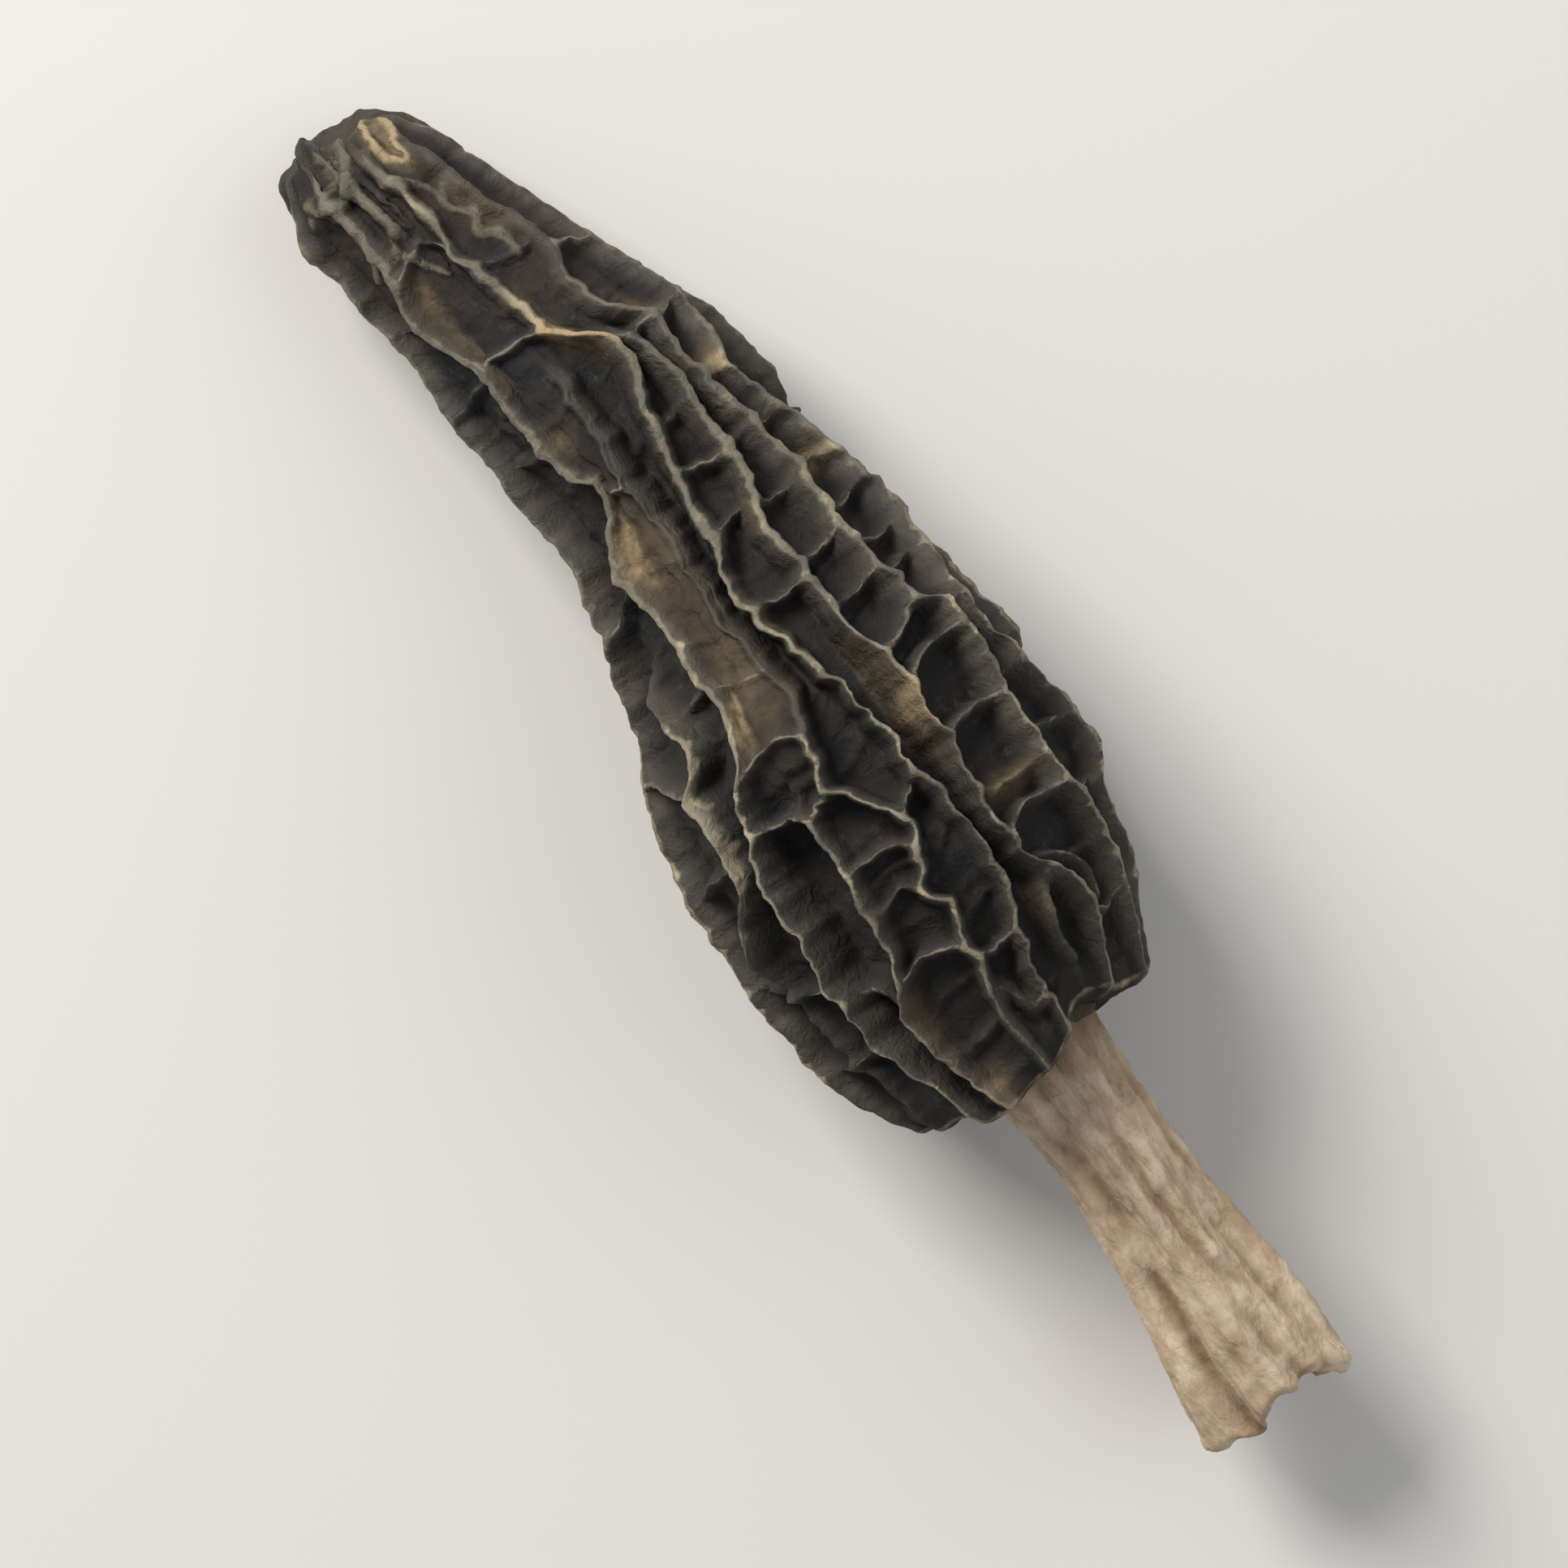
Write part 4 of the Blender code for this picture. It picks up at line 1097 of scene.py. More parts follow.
    def build(self) -> bpy.types.Object:
        """Lay a sphere's net of faces over the surface and store what its finish reads.

        Returns:
            The cap's object.
        """
        grid = self.surface()
        rings, columns = grid.angle.shape
        points = self.spine.points(grid.angle, grid.reach, grid.radius)
        shape = bmesh.new()
        bmesh.ops.create_uvsphere(shape, u_segments=columns, v_segments=rings + 1, radius=1.0)
        layers = {name: shape.verts.layers.float.new(name) for name in FINISH_LAYERS}
        skin = []
        for vertex in shape.verts:
            flat = math.hypot(vertex.co.x, vertex.co.y)
            down = round(math.atan2(flat, vertex.co.z) / math.pi * (rings + 1))
            if down in (0, rings + 1):
                reach = self.tip_dent_reach if down == 0 else self.hollow_end_reach
                vertex.co = self.spine.points(np.float64(0), np.float64(reach), np.float64(0))
                vertex[layers["ridge_gap"]] = vertex[layers["rib_gap"]] = 1.0
                continue
            turn = math.atan2(vertex.co.y, vertex.co.x) / (2 * math.pi) * columns
            row, column = down - 1, round(turn) % columns
            for name, layer in layers.items():
                vertex[layer] = float(getattr(grid, name)[row, column])
            vertex.co = points[row, column]
            if row < rings - len(self.hollow_outline):
                skin.append(vertex)
        bmesh.ops.recalc_face_normals(shape, faces=shape.faces[:])
        shape.normal_update()
        self.roughen(skin, layers)
        return finished_piece(shape, "morel_cap")

    def roughen(self, skin: list[bmesh.types.BMVert],
                layers: dict[str, bmesh.types.BMLayerItem]) -> None:
        """Move the skin along its normals by the tip's frills and the wrinkles.

        Args:
            skin: the vertices of the outside.
            layers: the layers that the finish reads.
        """
        normals = [vertex.normal.copy() for vertex in skin]
        places = np.array([vertex.co[:] for vertex in skin]) / MM
        facing = [self.facing_gain * (normal.z - self.facing_from) for normal in normals]
        upper = (np.clip(facing, 0, 1)
                 * smooth_step(self.frills_foot, self.frills_full, places[:, 2]))
        drift = np.array([sum(size * noise.noise(vertex.co * scale)
                              for scale, size in self.frill_drifts) for vertex in skin])
        reach = self.spine.tip_x - places[:, 0]
        near_tip = np.flatnonzero((reach < self.frills_end) & (upper > 0))
        frilled = np.zeros(len(skin))
        side = self.spine.side_offset - places[:, 1]
        height, gap, tan = self.frills((reach + drift)[near_tip], (side - drift)[near_tip])
        frilled[near_tip] = height * upper[near_tip]
        gap = gap + self.facing_fade * (1 - upper[near_tip])
        for index, crest, tone in zip(near_tip, gap, tan):
            vertex = skin[index]
            vertex[layers["ridge_gap"]] = min(vertex[layers["ridge_gap"]], float(crest))
            vertex[layers["tan"]] = max(vertex[layers["tan"]], float(tone * upper[index]))
        for vertex, normal, distance, raised in zip(skin, normals, reach, frilled):
            tip = max(0.0, 1 - distance / self.curls_end)
            height = raised + self.wrinkle(vertex.co, vertex[layers["rise"]], tip)
            vertex.co += normal * height * MM
            vertex.co.z = max(vertex.co.z, 0.0)


def fold(place: Vector) -> float:
    """A noise that is folded into sharp crests."""
    return FOLD_LEVEL - abs(noise.noise(place))


def drawn_line(points: Points) -> tuple[Array, Array]:
    """The smooth line through given points, as its two coordinates."""
    first, second = along_outline(points, LINE_SPLITS, 1)
    return first[:, 0], second[:, 0]


def along_outline(outline: Points, splits: int, columns: int) -> tuple[Array, Array]:
    """Smooth (reach, radius) rows through an outline's points, repeated for every column.

    Args:
        outline: the points.
        splits: rows from one point to the next.
        columns: how many columns the grid has.

    Returns:
        The reach and the radius at each row and column.
    """
    station = np.arange((len(outline) - 1) * splits + 1) / splits
    rows = [Curve(tuple((i, point[axis]) for i, point in enumerate(outline))).at(station)
            for axis in (0, 1)]
    reach, radius = (np.repeat(row[:, None], columns, axis=1) for row in rows)
    return reach, radius


def tan_at(place: Array, reach: Array) -> Array:
    """How tan the skin is, from the listed patches.

    Args:
        place: places round the cap.
        reach: distances from the tip.

    Returns:
        The tone, 1 in a full patch.
    """
    most = np.zeros_like(reach)
    for patch in TAN_PATCHES:
        across = (place - patch.place) / patch.half_width
        along = (reach - patch.reach) / patch.half_length
        most = np.maximum(most, patch.strength * np.exp(-(across ** 2 + along ** 2)))
    return most


@dataclass
class MorelStem:
    """The furrowed stem, with its torn end and the hollow that runs through it."""

    spine: Spine
    furrows: Furrows
    top_reach: float = 68.2
    radius: Curve = Curve((
        (68.2, 3.8), (70.4, 3.8), (72, 3.6), (75, 3.35), (80, 3.35), (86, 3.8), (91, 4.4),
        (96, 4.8)))
    hollow: Curve = Curve((
        (68.2, 2.3), (72, 2.2), (80, 2.1), (86, 2.3), (91, 2.8), (95.6, 3.65)))
    rim: Points = ((95.55, 4.72), (95.85, 4.5), (96.0, 4.15), (95.9, 3.85), (95.6, 3.68))
    outer_rows: int = 116
    inner_rows: int = 44
    turns: int = 288
    mouth_waves: tuple[Triple, ...] = (
        (2, 1.1, 0.40), (3, 0.3, 0.35), (7, 2.4, 0.25), (13, 0.9, 0.12))
    mouth_length: float = 7.0
    mouth_flare: float = 0.3
    crease_middle: float = 84.0
    crease_bend: float = 7.0
    crease_change: float = 0.35
    bend_wavelength: float = 17.0
    change_wavelength: float = 15.0
    long_fold_height: float = 0.42
    fibre_height: float = 0.16
    cross_height: float = 0.12
    mealy_height: float = 0.06
    weld_distance: float = 1e-5
    creases: tuple[tuple[float, float, float, float], ...] = (
        (18, 1.1, 9, 0.75), (64, -0.7, 8, 0.50), (112, 0.9, 10, 0.60), (165, -1.2, 9, 0.55),
        (214, 0.8, 11, 0.65), (262, -0.5, 8, 0.45), (318, 0.6, 10, 0.70))

    def profile(self) -> list[tuple[float, float]]:
        """The wall's outline: down the outside, round the rim and back up the inside.

        Returns:
            The outline's (reach, radius) points.
        """
        outer = np.linspace(self.top_reach, self.rim[0][0], self.outer_rows, endpoint=False)
        inner = np.linspace(self.rim[-1][0], self.top_reach, self.inner_rows)[1:]
        points = [(float(t), float(self.radius.at(t))) for t in outer]
        points.extend(self.rim)
        points.extend((float(t), float(self.hollow.at(t))) for t in inner)
        return points

    def creased(self, angle: Array, reach: Array) -> Array:
        """Depth of the sharp long creases.

        Args:
            angle: radians from straight up.
            reach: distances from the tip.

        Returns:
            The depth at each point.
        """
        total = np.zeros_like(reach)
        for number, (middle, drift, width, depth) in enumerate(self.creases):
            bend = (drift * (reach - self.crease_middle)
                    + self.crease_bend * ripple(number + 0.4, reach, self.bend_wavelength))
            change = 1 - ripple(number + 2.0, reach, self.change_wavelength)
            change = self.crease_change * change
            deep = depth * (1 - change)
            total = total + deep * bump(angle, middle + bend, width)
        return total

    def fibres(self, angle: float, reach: float) -> float:
        """Height of the long fibres and the fine cross wrinkles.

        Args:
            angle: radians from straight up.
            reach: distance from the tip.

        Returns:
            The height.
        """
        turned = Vector((0.0, math.sin(angle), math.cos(angle)))
        long_folds = noise.noise(turned * 3.0 + Vector((reach * 0.12, 0, 0)))
        fibre = fold(turned * 6.0 + Vector((reach * 0.30, 4.0, 0)))
        cross = noise.noise(turned * 2.5 + Vector((reach * 1.1, 0, 9.0)))
        mealy = noise.noise(turned * 13.0 + Vector((reach * 3.4, 2.0, 0)))
        return (self.long_fold_height * long_folds + self.fibre_height * fibre
                + self.cross_height * cross + self.mealy_height * mealy)

    def build(self) -> bpy.types.Object:
        """Turn the wall's outline round the X axis, then furrow, crease and bend it.

        Returns:
            The stem's object.
        """
        shape = bmesh.new()
        corners = [shape.verts.new((-reach, 0.0, radius)) for reach, radius in self.profile()]
        edges = [shape.edges.new(pair) for pair in zip(corners, corners[1:] + corners[:1])]
        bmesh.ops.spin(shape, geom=corners + edges, cent=(0, 0, 0), axis=(1, 0, 0),
                       angle=2 * math.pi, steps=self.turns, use_merge=True, use_duplicate=False)
        bmesh.ops.remove_doubles(shape, verts=shape.verts[:], dist=self.weld_distance)
        bmesh.ops.recalc_face_normals(shape, faces=shape.faces[:])
        flat = np.array([vertex.co[:] for vertex in shape.verts])
        angle = np.arctan2(-flat[:, 1], flat[:, 2])
        reach = -flat[:, 0]
        radius = np.hypot(flat[:, 1], flat[:, 2])
        mouth = np.clip(1 - (self.rim[2][0] - reach) / self.mouth_length, 0, 1) ** 2
        torn = waves(angle, self.mouth_waves)
        creased = self.creased(angle, reach)
        fibres = np.array([self.fibres(a, r) for a, r in zip(angle, reach)])
        torn = torn * mouth
        full = (radius * self.furrows.share(angle, reach) - creased + fibres
                + self.mouth_flare * torn)
        places = self.spine.points(angle, reach - torn, full)
        layer = shape.verts.layers.float.new("depth")
        for vertex, place, deep in zip(shape.verts, places, creased - fibres):
            vertex.co = place
            vertex[layer] = float(deep)
        return finished_piece(shape, "morel_stem")


def added(name: str, data: bpy.types.ID) -> bpy.types.Object:
    """Add an object to the scene."""
    made = bpy.data.objects.new(name, data)
    bpy.context.scene.collection.objects.link(made)
    return made


def added_mesh(name: str, shape: bmesh.types.BMesh) -> bpy.types.Object:
    """Add a finished bmesh to the scene as an object, and free it."""
    mesh = bpy.data.meshes.new(name)
    shape.to_mesh(mesh)
    shape.free()
    return added(name, mesh)


def finished_piece(shape: bmesh.types.BMesh, name: str) -> bpy.types.Object:
    """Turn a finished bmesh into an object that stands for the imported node.

    Args:
        shape: the mesh, which is freed.
        name: the piece's name.

    Returns:
        The new object.
    """
    piece = added_mesh(name, shape)
    piece.data.shade_smooth()
    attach(piece, BODY)
    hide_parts(NODE)
    return piece


def srgb(red: int, green: int, blue: int) -> Colour:
    """A screen colour from 0 to 255 as the linear colour that a shader takes."""
    linear = []
    for value in (red, green, blue):
        share = value / 255
        linear.append(share / 12.92 if share <= 0.04045 else ((share + 0.055) / 1.055) ** 2.4)
    return (linear[0], linear[1], linear[2], 1.0)


class Sum(Enum):
    """The sums that the materials do."""

    ADD = "ADD"
    SUBTRACT = "SUBTRACT"
    MULTIPLY = "MULTIPLY"
    DIVIDE = "DIVIDE"
    MAXIMUM = "MAXIMUM"
    ABSOLUTE = "ABSOLUTE"


@dataclass
class Weave:
    """A small helper that adds and joins the nodes of one tree."""

    tree: bpy.types.NodeTree

    def feed(self, socket: Socket, value: object) -> None:
        """Join a socket to another, or set its value."""
        if isinstance(value, Socket):
            self.tree.links.new(value, socket)
        else:
            socket.default_value = value

    def node(self, kind: str, feeds: dict[str | int, object] | None = None,
             **settings: object) -> bpy.types.Node:
        """Add a node.

        Args:
            kind: its type.
            feeds: what goes into its inputs, by their names or numbers.
            settings: its properties, which are set first.

        Returns:
            The node.
        """
        made = self.tree.nodes.new(kind)
        for name, value in settings.items():
            setattr(made, name, value)
        for name, value in (feeds or {}).items():
            self.feed(made.inputs[name], value)
        return made

    def attribute(self, name: str) -> Socket:
        """The value of one of the mesh's own attributes."""
        return self.node("ShaderNodeAttribute", attribute_name=name).outputs["Fac"]

    def maths(self, operation: Sum, *values: object) -> Socket:
        """The result of a sum."""
        made = self.node("ShaderNodeMath", dict(enumerate(values)), operation=operation.value)
        return made.outputs[0]

    def times(self, *values: object) -> object:
        """The product of some sockets and numbers."""
        product = values[0]
        for value in values[1:]:
            product = self.maths(Sum.MULTIPLY, product, value)
        return product

    def ranged(self, value: object, low: float, high: float, to_low: float = 0.0,
               to_high: float = 1.0) -> Socket:
        """Map a value smoothly from one range to another.

        Args:
            value: the value to map.
            low: the range's start.
            high: the range's end.
            to_low: what the start becomes.
            to_high: what the end becomes.

        Returns:
            The mapped value.
        """
        feeds = {"Value": value, "From Min": low, "From Max": high, "To Min": to_low,
                 "To Max": to_high}
        return self.node("ShaderNodeMapRange", feeds, interpolation_type="SMOOTHSTEP").outputs[0]

    def noise(self, place: object, scale: object, detail: float, roughness: float,
              distortion: float = 0.0) -> Socket:
        """The value of a noise texture.

        Args:
            place: its coordinates.
            scale: its scale.
            detail: its number of octaves.
            roughness: how strong the finer octaves are.
            distortion: how much it is swirled.

        Returns:
            A value round 0.5.
        """
        feeds = {"Vector": place, "Scale": scale, "Detail": detail, "Roughness": roughness,
                 "Distortion": distortion}
        return self.node("ShaderNodeTexNoise", feeds).outputs["Fac"]

    def over(self, under: object, colour: object, *shares: object) -> Socket:
        """Lay a colour over another.

        Args:
            under: the colour below.
            colour: the colour laid over it.
            shares: values whose product is how much of it shows.

        Returns:
            The mixed colour.
        """
        feeds = {"Factor": self.times(*shares), 6: under, 7: colour}
        return self.node("ShaderNodeMix", feeds, data_type="RGBA").outputs[2]


def new_group(name: str, inputs: dict[str, str], outputs: tuple[str, ...]) -> Weave:
    """Start a node group that puts out values.

    Args:
        name: the group's name.
        inputs: each input's name and socket type.
        outputs: the outputs' names.

    Returns:
        A helper for its nodes.
    """
    group = bpy.data.node_groups.new(name, "ShaderNodeTree")
    for label, kind in inputs.items():
        group.interface.new_socket(label, in_out="INPUT", socket_type=kind)
    for label in outputs:
        group.interface.new_socket(label, in_out="OUTPUT", socket_type="NodeSocketFloat")
    return Weave(group)


def wrinkle_group() -> bpy.types.NodeTree:
    """Dry wrinkles: a height made of folds and a fine grain.

    Returns:
        The group.
    """
    weave = new_group("dry_wrinkles", {"Vector": "NodeSocketVector", "Folds": "NodeSocketFloat"},
                      ("Height",))
    start = weave.node("NodeGroupInput").outputs
    folds = weave.noise(start["Vector"], start["Folds"], 4.0, 0.6, 0.6)
    creases = weave.maths(Sum.ABSOLUTE, weave.maths(Sum.SUBTRACT, folds, 0.5))
    grain = weave.noise(start["Vector"], 4200.0, 3.0, 0.65)
    height = weave.maths(Sum.ADD, weave.times(creases, 2.24), weave.times(grain, 0.3))
    weave.node("NodeGroupOutput", {"Height": height})
    return weave.tree


def mottle_group() -> bpy.types.NodeTree:
    """Mottling: broad blotches and small specks as two masks.

    Returns:
        The group.
    """
    weave = new_group("skin_mottle", {"Vector": "NodeSocketVector"}, ("Blotches", "Specks"))
    place = weave.node("NodeGroupInput").outputs["Vector"]
    blotches = weave.ranged(weave.noise(place, 160.0, 4.0, 0.6, 0.3), 0.36, 0.66)
    specks = weave.ranged(weave.noise(place, 900.0, 3.0, 0.7), 0.52, 0.72)
    weave.node("NodeGroupOutput", {"Blotches": blotches, "Specks": specks})
    return weave.tree


@dataclass
class SkinWeave(Weave):
    """A skin's tree, with its coordinates, those drawn out along the grain, and its masks."""

    place: Socket | None = None
    along: Socket | None = None
    blotches: Socket | None = None
    specks: Socket | None = None

    def lengthwise(self) -> Socket:
        """How far along X a place of the skin lies."""
        return self.node("ShaderNodeSeparateXYZ", {0: self.place}).outputs["X"]


@dataclass(frozen=True)
class Finish:
    """What both skins share: the coordinates, the mottling and the wrinkles' fine bump."""

    name: str = "skin"
    grain: Triple = (1.0, 1.0, 1.0)
    fold_scale: float = 700.0
    bump_strength: float = 0.8
    bump_distance: float = 0.0002

    def coats(self, weave: SkinWeave) -> dict[str, object]:
        """What goes into the shader's inputs that each skin has for itself, by their names."""
        raise NotImplementedError

    def material(self, wrinkles: bpy.types.NodeTree, mottle: bpy.types.NodeTree
                 ) -> bpy.types.Material:
        """Build the material.

        Args:
            wrinkles: the group that gives the skin its wrinkles.
            mottle: the group that gives it its mottling.

        Returns:
            The material.
        """
        material = bpy.data.materials.new(self.name)
        material.use_nodes = True
        weave = SkinWeave(material.node_tree)
        weave.place = weave.node("ShaderNodeTexCoord").outputs["Object"]
        stretched = {"Vector": weave.place, "Scale": self.grain}
        weave.along = weave.node("ShaderNodeMapping", stretched).outputs["Vector"]
        spots = weave.node("ShaderNodeGroup", {"Vector": weave.place}, node_tree=mottle)
        weave.blotches, weave.specks = spots.outputs
        folds = weave.node("ShaderNodeGroup", {"Vector": weave.along, "Folds": self.fold_scale},
                           node_tree=wrinkles)
        relief = weave.node("ShaderNodeBump", {
            "Strength": self.bump_strength, "Distance": self.bump_distance,
            "Height": folds.outputs["Height"]})
        shader = material.node_tree.nodes["Principled BSDF"]
        for name, value in {**self.coats(weave), "Normal": relief.outputs["Normal"]}.items():
            weave.feed(shader.inputs[name], value)
        return material


@dataclass(frozen=True)
class CapFinish(Finish):
    """Dark velvety pits under thin tan crests."""

    name: str = "cap_skin"
    bump_distance: float = 0.00022
    # The dark pit colour is the pits' own tone, and it also stands for painted shade in the deep
    # pits.
    pit: Colour = srgb(40, 40, 40)
    pit_warm: Colour = srgb(56, 49, 43)
    bloom: Colour = srgb(88, 89, 87)
    wall: Colour = srgb(73, 69, 60)
    brown: Colour = srgb(86, 75, 59)
    tan: Colour = srgb(133, 116, 89)
    # Painted highlights: the lighter tan crest colour here and the brightest ridge colour below.
    tan_painted_highlight: Colour = srgb(160, 139, 107)
    ridge: Colour = srgb(130, 121, 102)
    ridge_dull: Colour = srgb(90, 86, 74)
    ridge_painted_highlight: Colour = srgb(174, 159, 131)
    rib: Colour = srgb(138, 132, 116)
    ridge_width: float = 0.285
    rib_width: float = 0.165
    flat_top: float = 0.04
    dull_from: float = 0.0
    dull_to: float = 0.022

    def line(self, weave: Weave, gap: str, width: float, uneven: Socket) -> Socket:
        """A mask that is 1 on a crest and fades out over an uneven width.

        Args:
            weave: the tree's helper.
            gap: the attribute that holds the distance to the crest.
            width: the line's half width.
            uneven: a noise round 0.5.

        Returns:
            The mask.
        """
        past = weave.maths(Sum.SUBTRACT, weave.attribute(gap), self.flat_top)
        share = weave.maths(Sum.DIVIDE, past, weave.times(uneven, 2 * width))
        return weave.ranged(share, 1.12, 0.3)

    def coats(self, weave: SkinWeave) -> dict[str, object]:
        """Pits from black-brown to warm brown with painted shade in the deep ones, a dusty bloom,
        tan patches, and the crests' lines with painted highlights.

        Args:
            weave: the skin's tree.

        Returns:
            What goes into the shader's inputs, by their names.
        """
        rise = weave.attribute("rise")
        tan = weave.attribute("tan")
        uneven = weave.noise(weave.place, 640.0, 4.0, 0.62)
        worn = weave.noise(weave.place, 190.0, 3.0, 0.6)
        # Deeper pits take more of the dark pit colour: painted shade that grows with the depth; the
        # blotches lay the same colour as real mottling.
        deep = weave.times(weave.ranged(weave.attribute("depth"), 0.5, 2.4), 0.75)
        skin = weave.over(self.pit_warm, self.pit, weave.maths(Sum.MAXIMUM, deep, weave.blotches))
        skin = weave.over(skin, self.bloom, weave.specks,
                          weave.ranged(uneven, 0.45, 0.62, 0.05, 0.35))
        skin = weave.over(skin, self.wall, weave.ranged(rise, 0.12, 0.9),
                          weave.ranged(uneven, 0.32, 0.66, 0.35, 0.95))
        skin = weave.over(skin, self.brown, weave.ranged(tan, 0.05, 0.5),
                          weave.ranged(uneven, 0.3, 0.6, 0.35, 0.9))
        skin = weave.over(skin, self.tan, weave.ranged(tan, 0.45, 0.95),
                          weave.ranged(uneven, 0.34, 0.6, 0.2, 1.0))
        skin = weave.over(skin, self.rib, self.line(weave, "rib_gap", self.rib_width, uneven),
                          weave.ranged(worn, 0.3, 0.6, 0.35, 0.9))
        dull = weave.ranged(weave.lengthwise(), self.dull_from, self.dull_to, 1.0, 0.25)
        crest = weave.over(self.ridge_dull, self.ridge, weave.ranged(worn, 0.38, 0.56), dull)
        # Painted highlights on the crests, placed by noise and fewer towards the tip, and on the
        # tan patches.
        highlight_share = weave.maths(Sum.MAXIMUM, weave.times(weave.ranged(uneven, 0.54, 0.7), dull),
                             weave.times(weave.ranged(tan, 0.4, 0.9), 0.8))
        crest = weave.over(crest, self.ridge_painted_highlight, highlight_share)
        # A stronger painted highlight on the crests of the fullest tan patches.
        crest = weave.over(crest, self.tan_painted_highlight, weave.ranged(tan, 0.7, 1.0))
        skin = weave.over(skin, crest, self.line(weave, "ridge_gap", self.ridge_width, uneven))
        return {"Base Color": skin, "Roughness": weave.ranged(rise, 0.0, 1.0, 0.92, 0.66),
                "Specular IOR Level": weave.ranged(rise, 0.0, 1.0, 0.14, 0.34)}


@dataclass(frozen=True)
class StemFinish(Finish):
    """Cream-tan, fibrous flesh with brown furrows."""

    name: str = "stem_flesh"
    grain: Triple = (0.45, 1.0, 1.0)
    fold_scale: float = 900.0
    bump_distance: float = 0.00018
    flesh: Colour = srgb(186, 162, 134)
    pale: Colour = srgb(206, 186, 160)
    brown: Colour = srgb(120, 92, 68)
    # Dark brown for the deep creases and the specks, and painted shade on the stem's top under the
    # cap.
    stain_and_shade: Colour = srgb(84, 62, 44)
    neck_from: float = -0.0256
    neck_to: float = -0.0222

    def coats(self, weave: SkinWeave) -> dict[str, object]:
        """Pale flesh, brown blotches and furrows, darker deep creases and specks, and painted shade
        on the stem's top under the cap.

        Args:
            weave: the skin's tree.

        Returns:
            What goes into the shader's inputs, by their names.
        """
        fibre = weave.noise(weave.along, 800.0, 4.0, 0.6)
        depth = weave.attribute("depth")
        skin = weave.over(self.flesh, self.pale, weave.ranged(fibre, 0.42, 0.62))
        skin = weave.over(skin, self.brown, weave.blotches, 0.4)
        skin = weave.over(skin, self.brown, weave.ranged(depth, 0.12, 0.75),
                          weave.ranged(fibre, 0.3, 0.6, 0.6, 1.0))
        skin = weave.over(skin, self.stain_and_shade, weave.ranged(depth, 0.45, 1.0), 0.7)
        skin = weave.over(skin, self.stain_and_shade, weave.specks, 0.3)
        # Painted shade on the stem's top, where the cap's hem overhangs it.
        neck_shade = weave.ranged(weave.lengthwise(), self.neck_from, self.neck_to, 0.0, 0.6)
        skin = weave.over(skin, self.stain_and_shade, neck_shade)
        return {"Base Color": skin, "Roughness": weave.ranged(fibre, 0.3, 0.7, 0.74, 0.9),
                "Specular IOR Level": 0.3}


class Lamp(NamedTuple):
    """A square soft light.

    size: its side in metres; power: in watts; place: right and up as the camera sees, and its
    height; colour: its tint.
    """

    name: str
    size: float
    power: float
    place: Triple
    colour: Triple


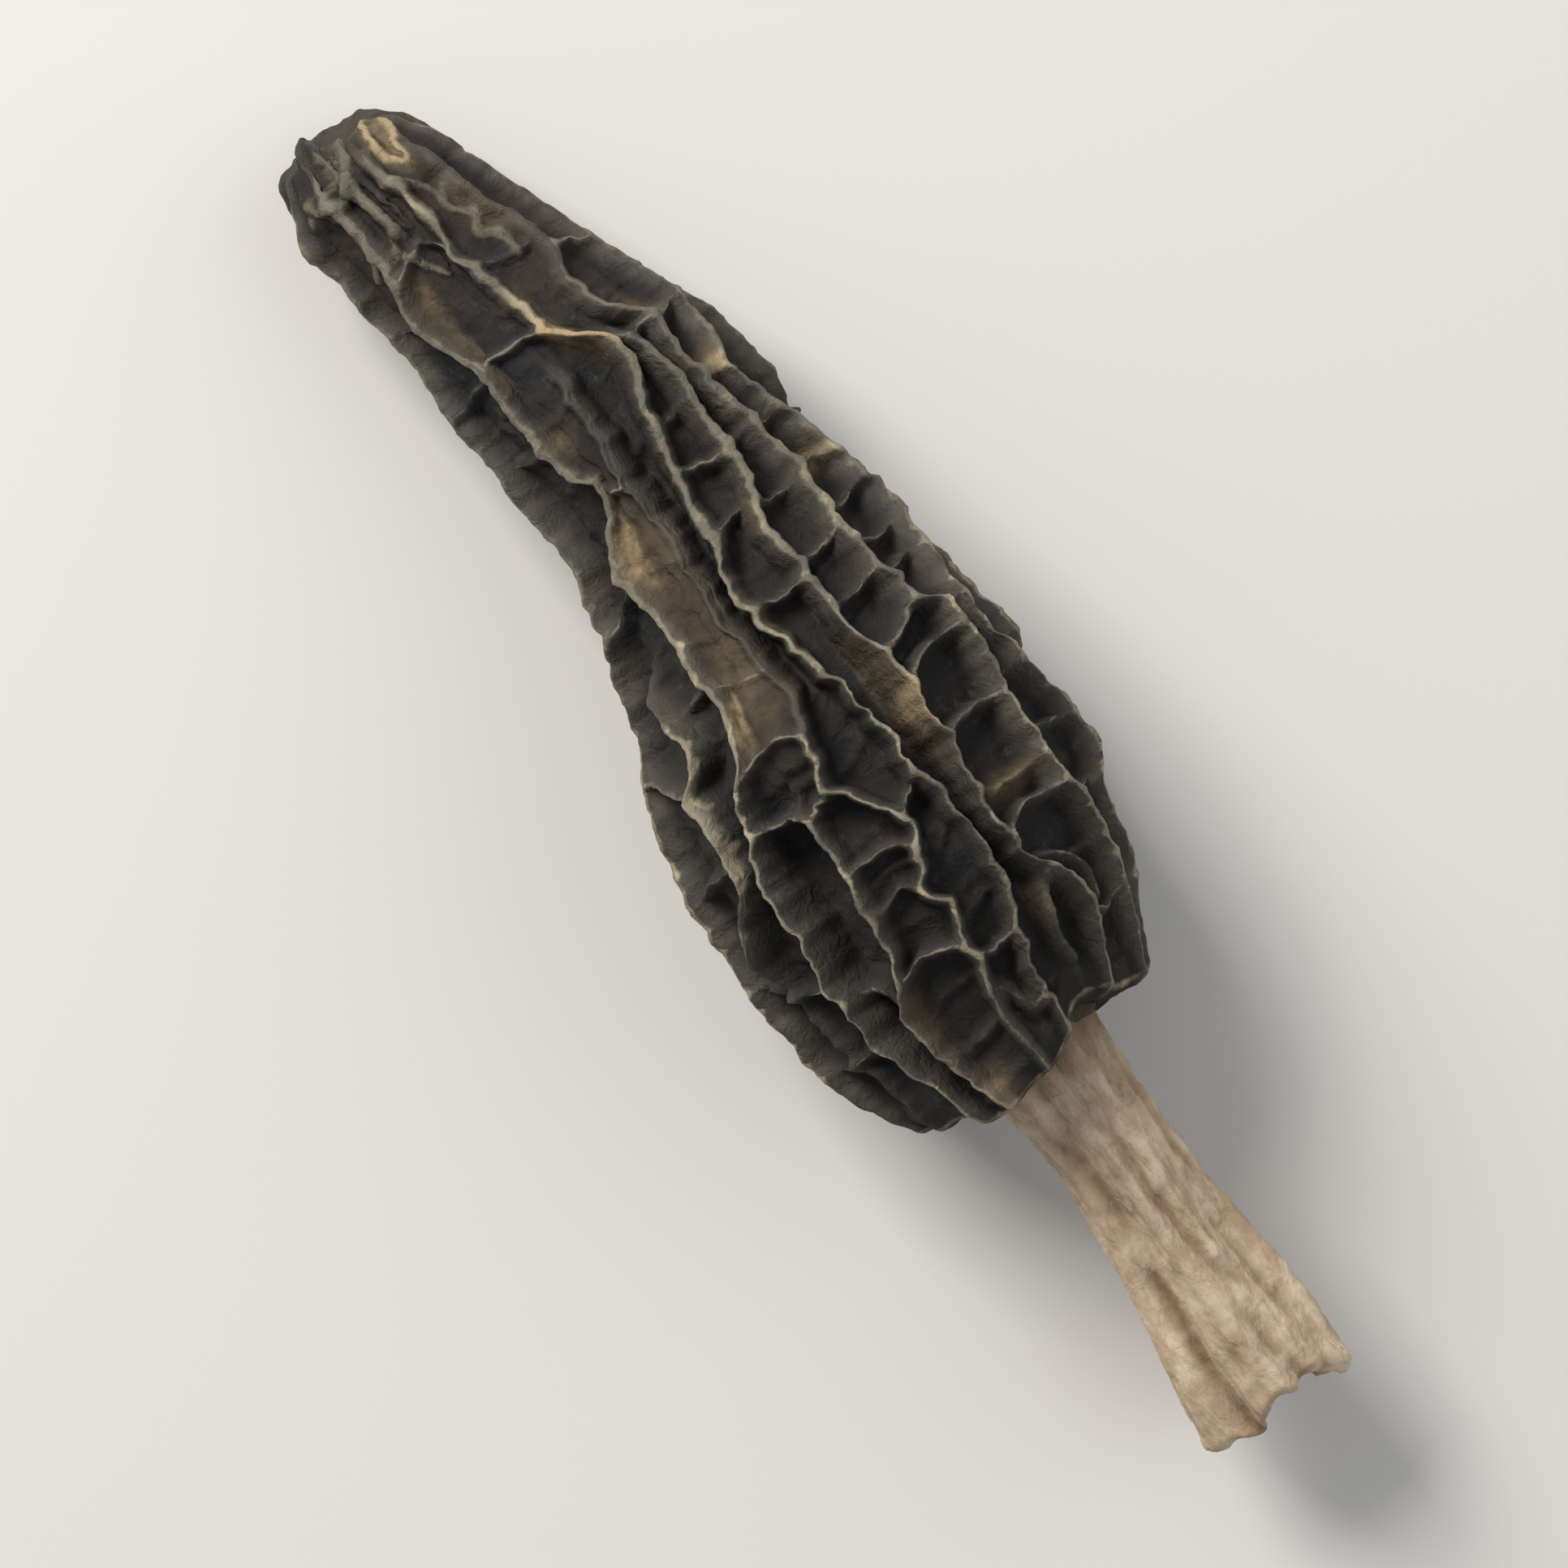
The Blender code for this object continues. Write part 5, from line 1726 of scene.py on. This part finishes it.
@dataclass
class Studio:
    """A pale floor, soft light and a camera that looks down as the photograph does.

    The window is the square of photograph pixels that the camera frames, closer than the
    photograph, and the tip's pixel ties it to the model.
    """

    photo_scale: float = 0.135
    tip_pixel: tuple[float, float] = (865.0, 605.0)
    axis_turn: float = -126.0
    window: tuple[float, float, float, float] = (720.0, 545.0, 1420.0, 1245.0)
    axis_down: tuple[float, float] = (0.586, 0.810)
    lens: float = 150.0
    sensor: float = 36.0
    near_clip: float = 0.01
    focus_height: float = 0.012
    floor_size: float = 1.6
    floor_drop: float = 0.00005
    floor_colour: Colour = srgb(214, 211, 206)
    floor_roughness: float = 0.9
    lamps: tuple[Lamp, ...] = (
        Lamp("key", 0.35, 6.6, (-0.42, 0.40, 0.48), (1.0, 0.98, 0.95)),
        Lamp("fill", 0.9, 2.2, (0.70, 0.15, 0.60), (0.92, 0.96, 1.0)))
    sky: Colour = (0.95, 0.97, 1.0, 1.0)
    sky_strength: float = 0.37

    def window_centre(self, spine: Spine) -> Vector:
        """The point of the model that lies at the middle of the window."""
        across = (self.window[0] + self.window[2]) / 2 - self.tip_pixel[0]
        down = (self.window[1] + self.window[3]) / 2 - self.tip_pixel[1]
        along = (across * self.axis_down[0] + down * self.axis_down[1]) * self.photo_scale
        side = (across * self.axis_down[1] - down * self.axis_down[0]) * self.photo_scale
        return Vector((spine.tip_x - along, spine.side_offset - side, 0.0)) * MM

    def floor(self) -> None:
        """Lay the pale floor just under the mushroom."""
        shape = bmesh.new()
        bmesh.ops.create_grid(shape, x_segments=1, y_segments=1, size=self.floor_size / 2)
        bmesh.ops.translate(shape, verts=shape.verts[:], vec=(0, 0, -self.floor_drop))
        floor = added_mesh("floor", shape)
        material = bpy.data.materials.new("floor_paper")
        material.use_nodes = True
        shader = material.node_tree.nodes["Principled BSDF"]
        shader.inputs["Base Color"].default_value = self.floor_colour
        shader.inputs["Roughness"].default_value = self.floor_roughness
        floor.data.materials.append(material)

    def light(self, lamp: Lamp) -> None:
        """Hang a light that looks at the mushroom.

        Args:
            lamp: what it is and where it hangs.
        """
        data = bpy.data.lights.new(lamp.name, "AREA")
        data.shape = "SQUARE"
        data.size = lamp.size
        data.energy = lamp.power
        data.color = lamp.colour
        hung = added(lamp.name, data)
        turned = Euler((0, 0, math.radians(self.axis_turn))).to_matrix()
        hung.location = turned @ Vector(lamp.place)
        hung.rotation_euler = hung.location.to_track_quat("Z", "Y").to_euler()

    def lights(self) -> None:
        """A large soft key from the upper left, a weak fill and a faint dome."""
        for lamp in self.lamps:
            self.light(lamp)
        world = bpy.data.worlds.new("studio")
        world.use_nodes = True
        background = world.node_tree.nodes["Background"]
        background.inputs["Color"].default_value = self.sky
        background.inputs["Strength"].default_value = self.sky_strength
        bpy.context.scene.world = world

    def camera(self, spine: Spine) -> None:
        """Set the camera straight over the window's middle, turned as the photograph is.

        Args:
            spine: the line that ties the photograph to the model.
        """
        data = bpy.data.cameras.new("camera")
        data.sensor_width = self.sensor
        data.lens = self.lens
        data.clip_start = self.near_clip
        wide = (self.window[2] - self.window[0]) * self.photo_scale * MM
        height = wide * self.lens / self.sensor
        eye = added("camera", data)
        eye.location = self.window_centre(spine) + Vector((0, 0, height + self.focus_height))
        eye.rotation_euler = (0.0, 0.0, math.radians(self.axis_turn))
        bpy.context.scene.camera = eye

    def build(self, spine: Spine) -> None:
        """Make the floor, the lights and the camera."""
        self.floor()
        self.lights()
        self.camera(spine)
        bpy.context.scene.view_settings.view_transform = "Standard"


def report_piece(piece: bpy.types.Object) -> None:
    """Log a piece's name and its number of faces."""
    LOG.info("%s: %d faces", piece.name, len(piece.data.polygons))


def main() -> None:
    """Build and dress the mushroom, then the studio round it."""
    logging.basicConfig(level=logging.INFO, format="%(message)s")
    spine = Spine()
    furrows = Furrows()
    wrinkles = wrinkle_group()
    mottle = mottle_group()
    cap = MorelCap(spine, furrows).build()
    cap.data.materials.append(CapFinish().material(wrinkles, mottle))
    report_piece(cap)
    stem = MorelStem(spine, furrows).build()
    stem.data.materials.append(StemFinish().material(wrinkles, mottle))
    report_piece(stem)
    Studio().build(spine)


if __name__ == "__main__":
    main()
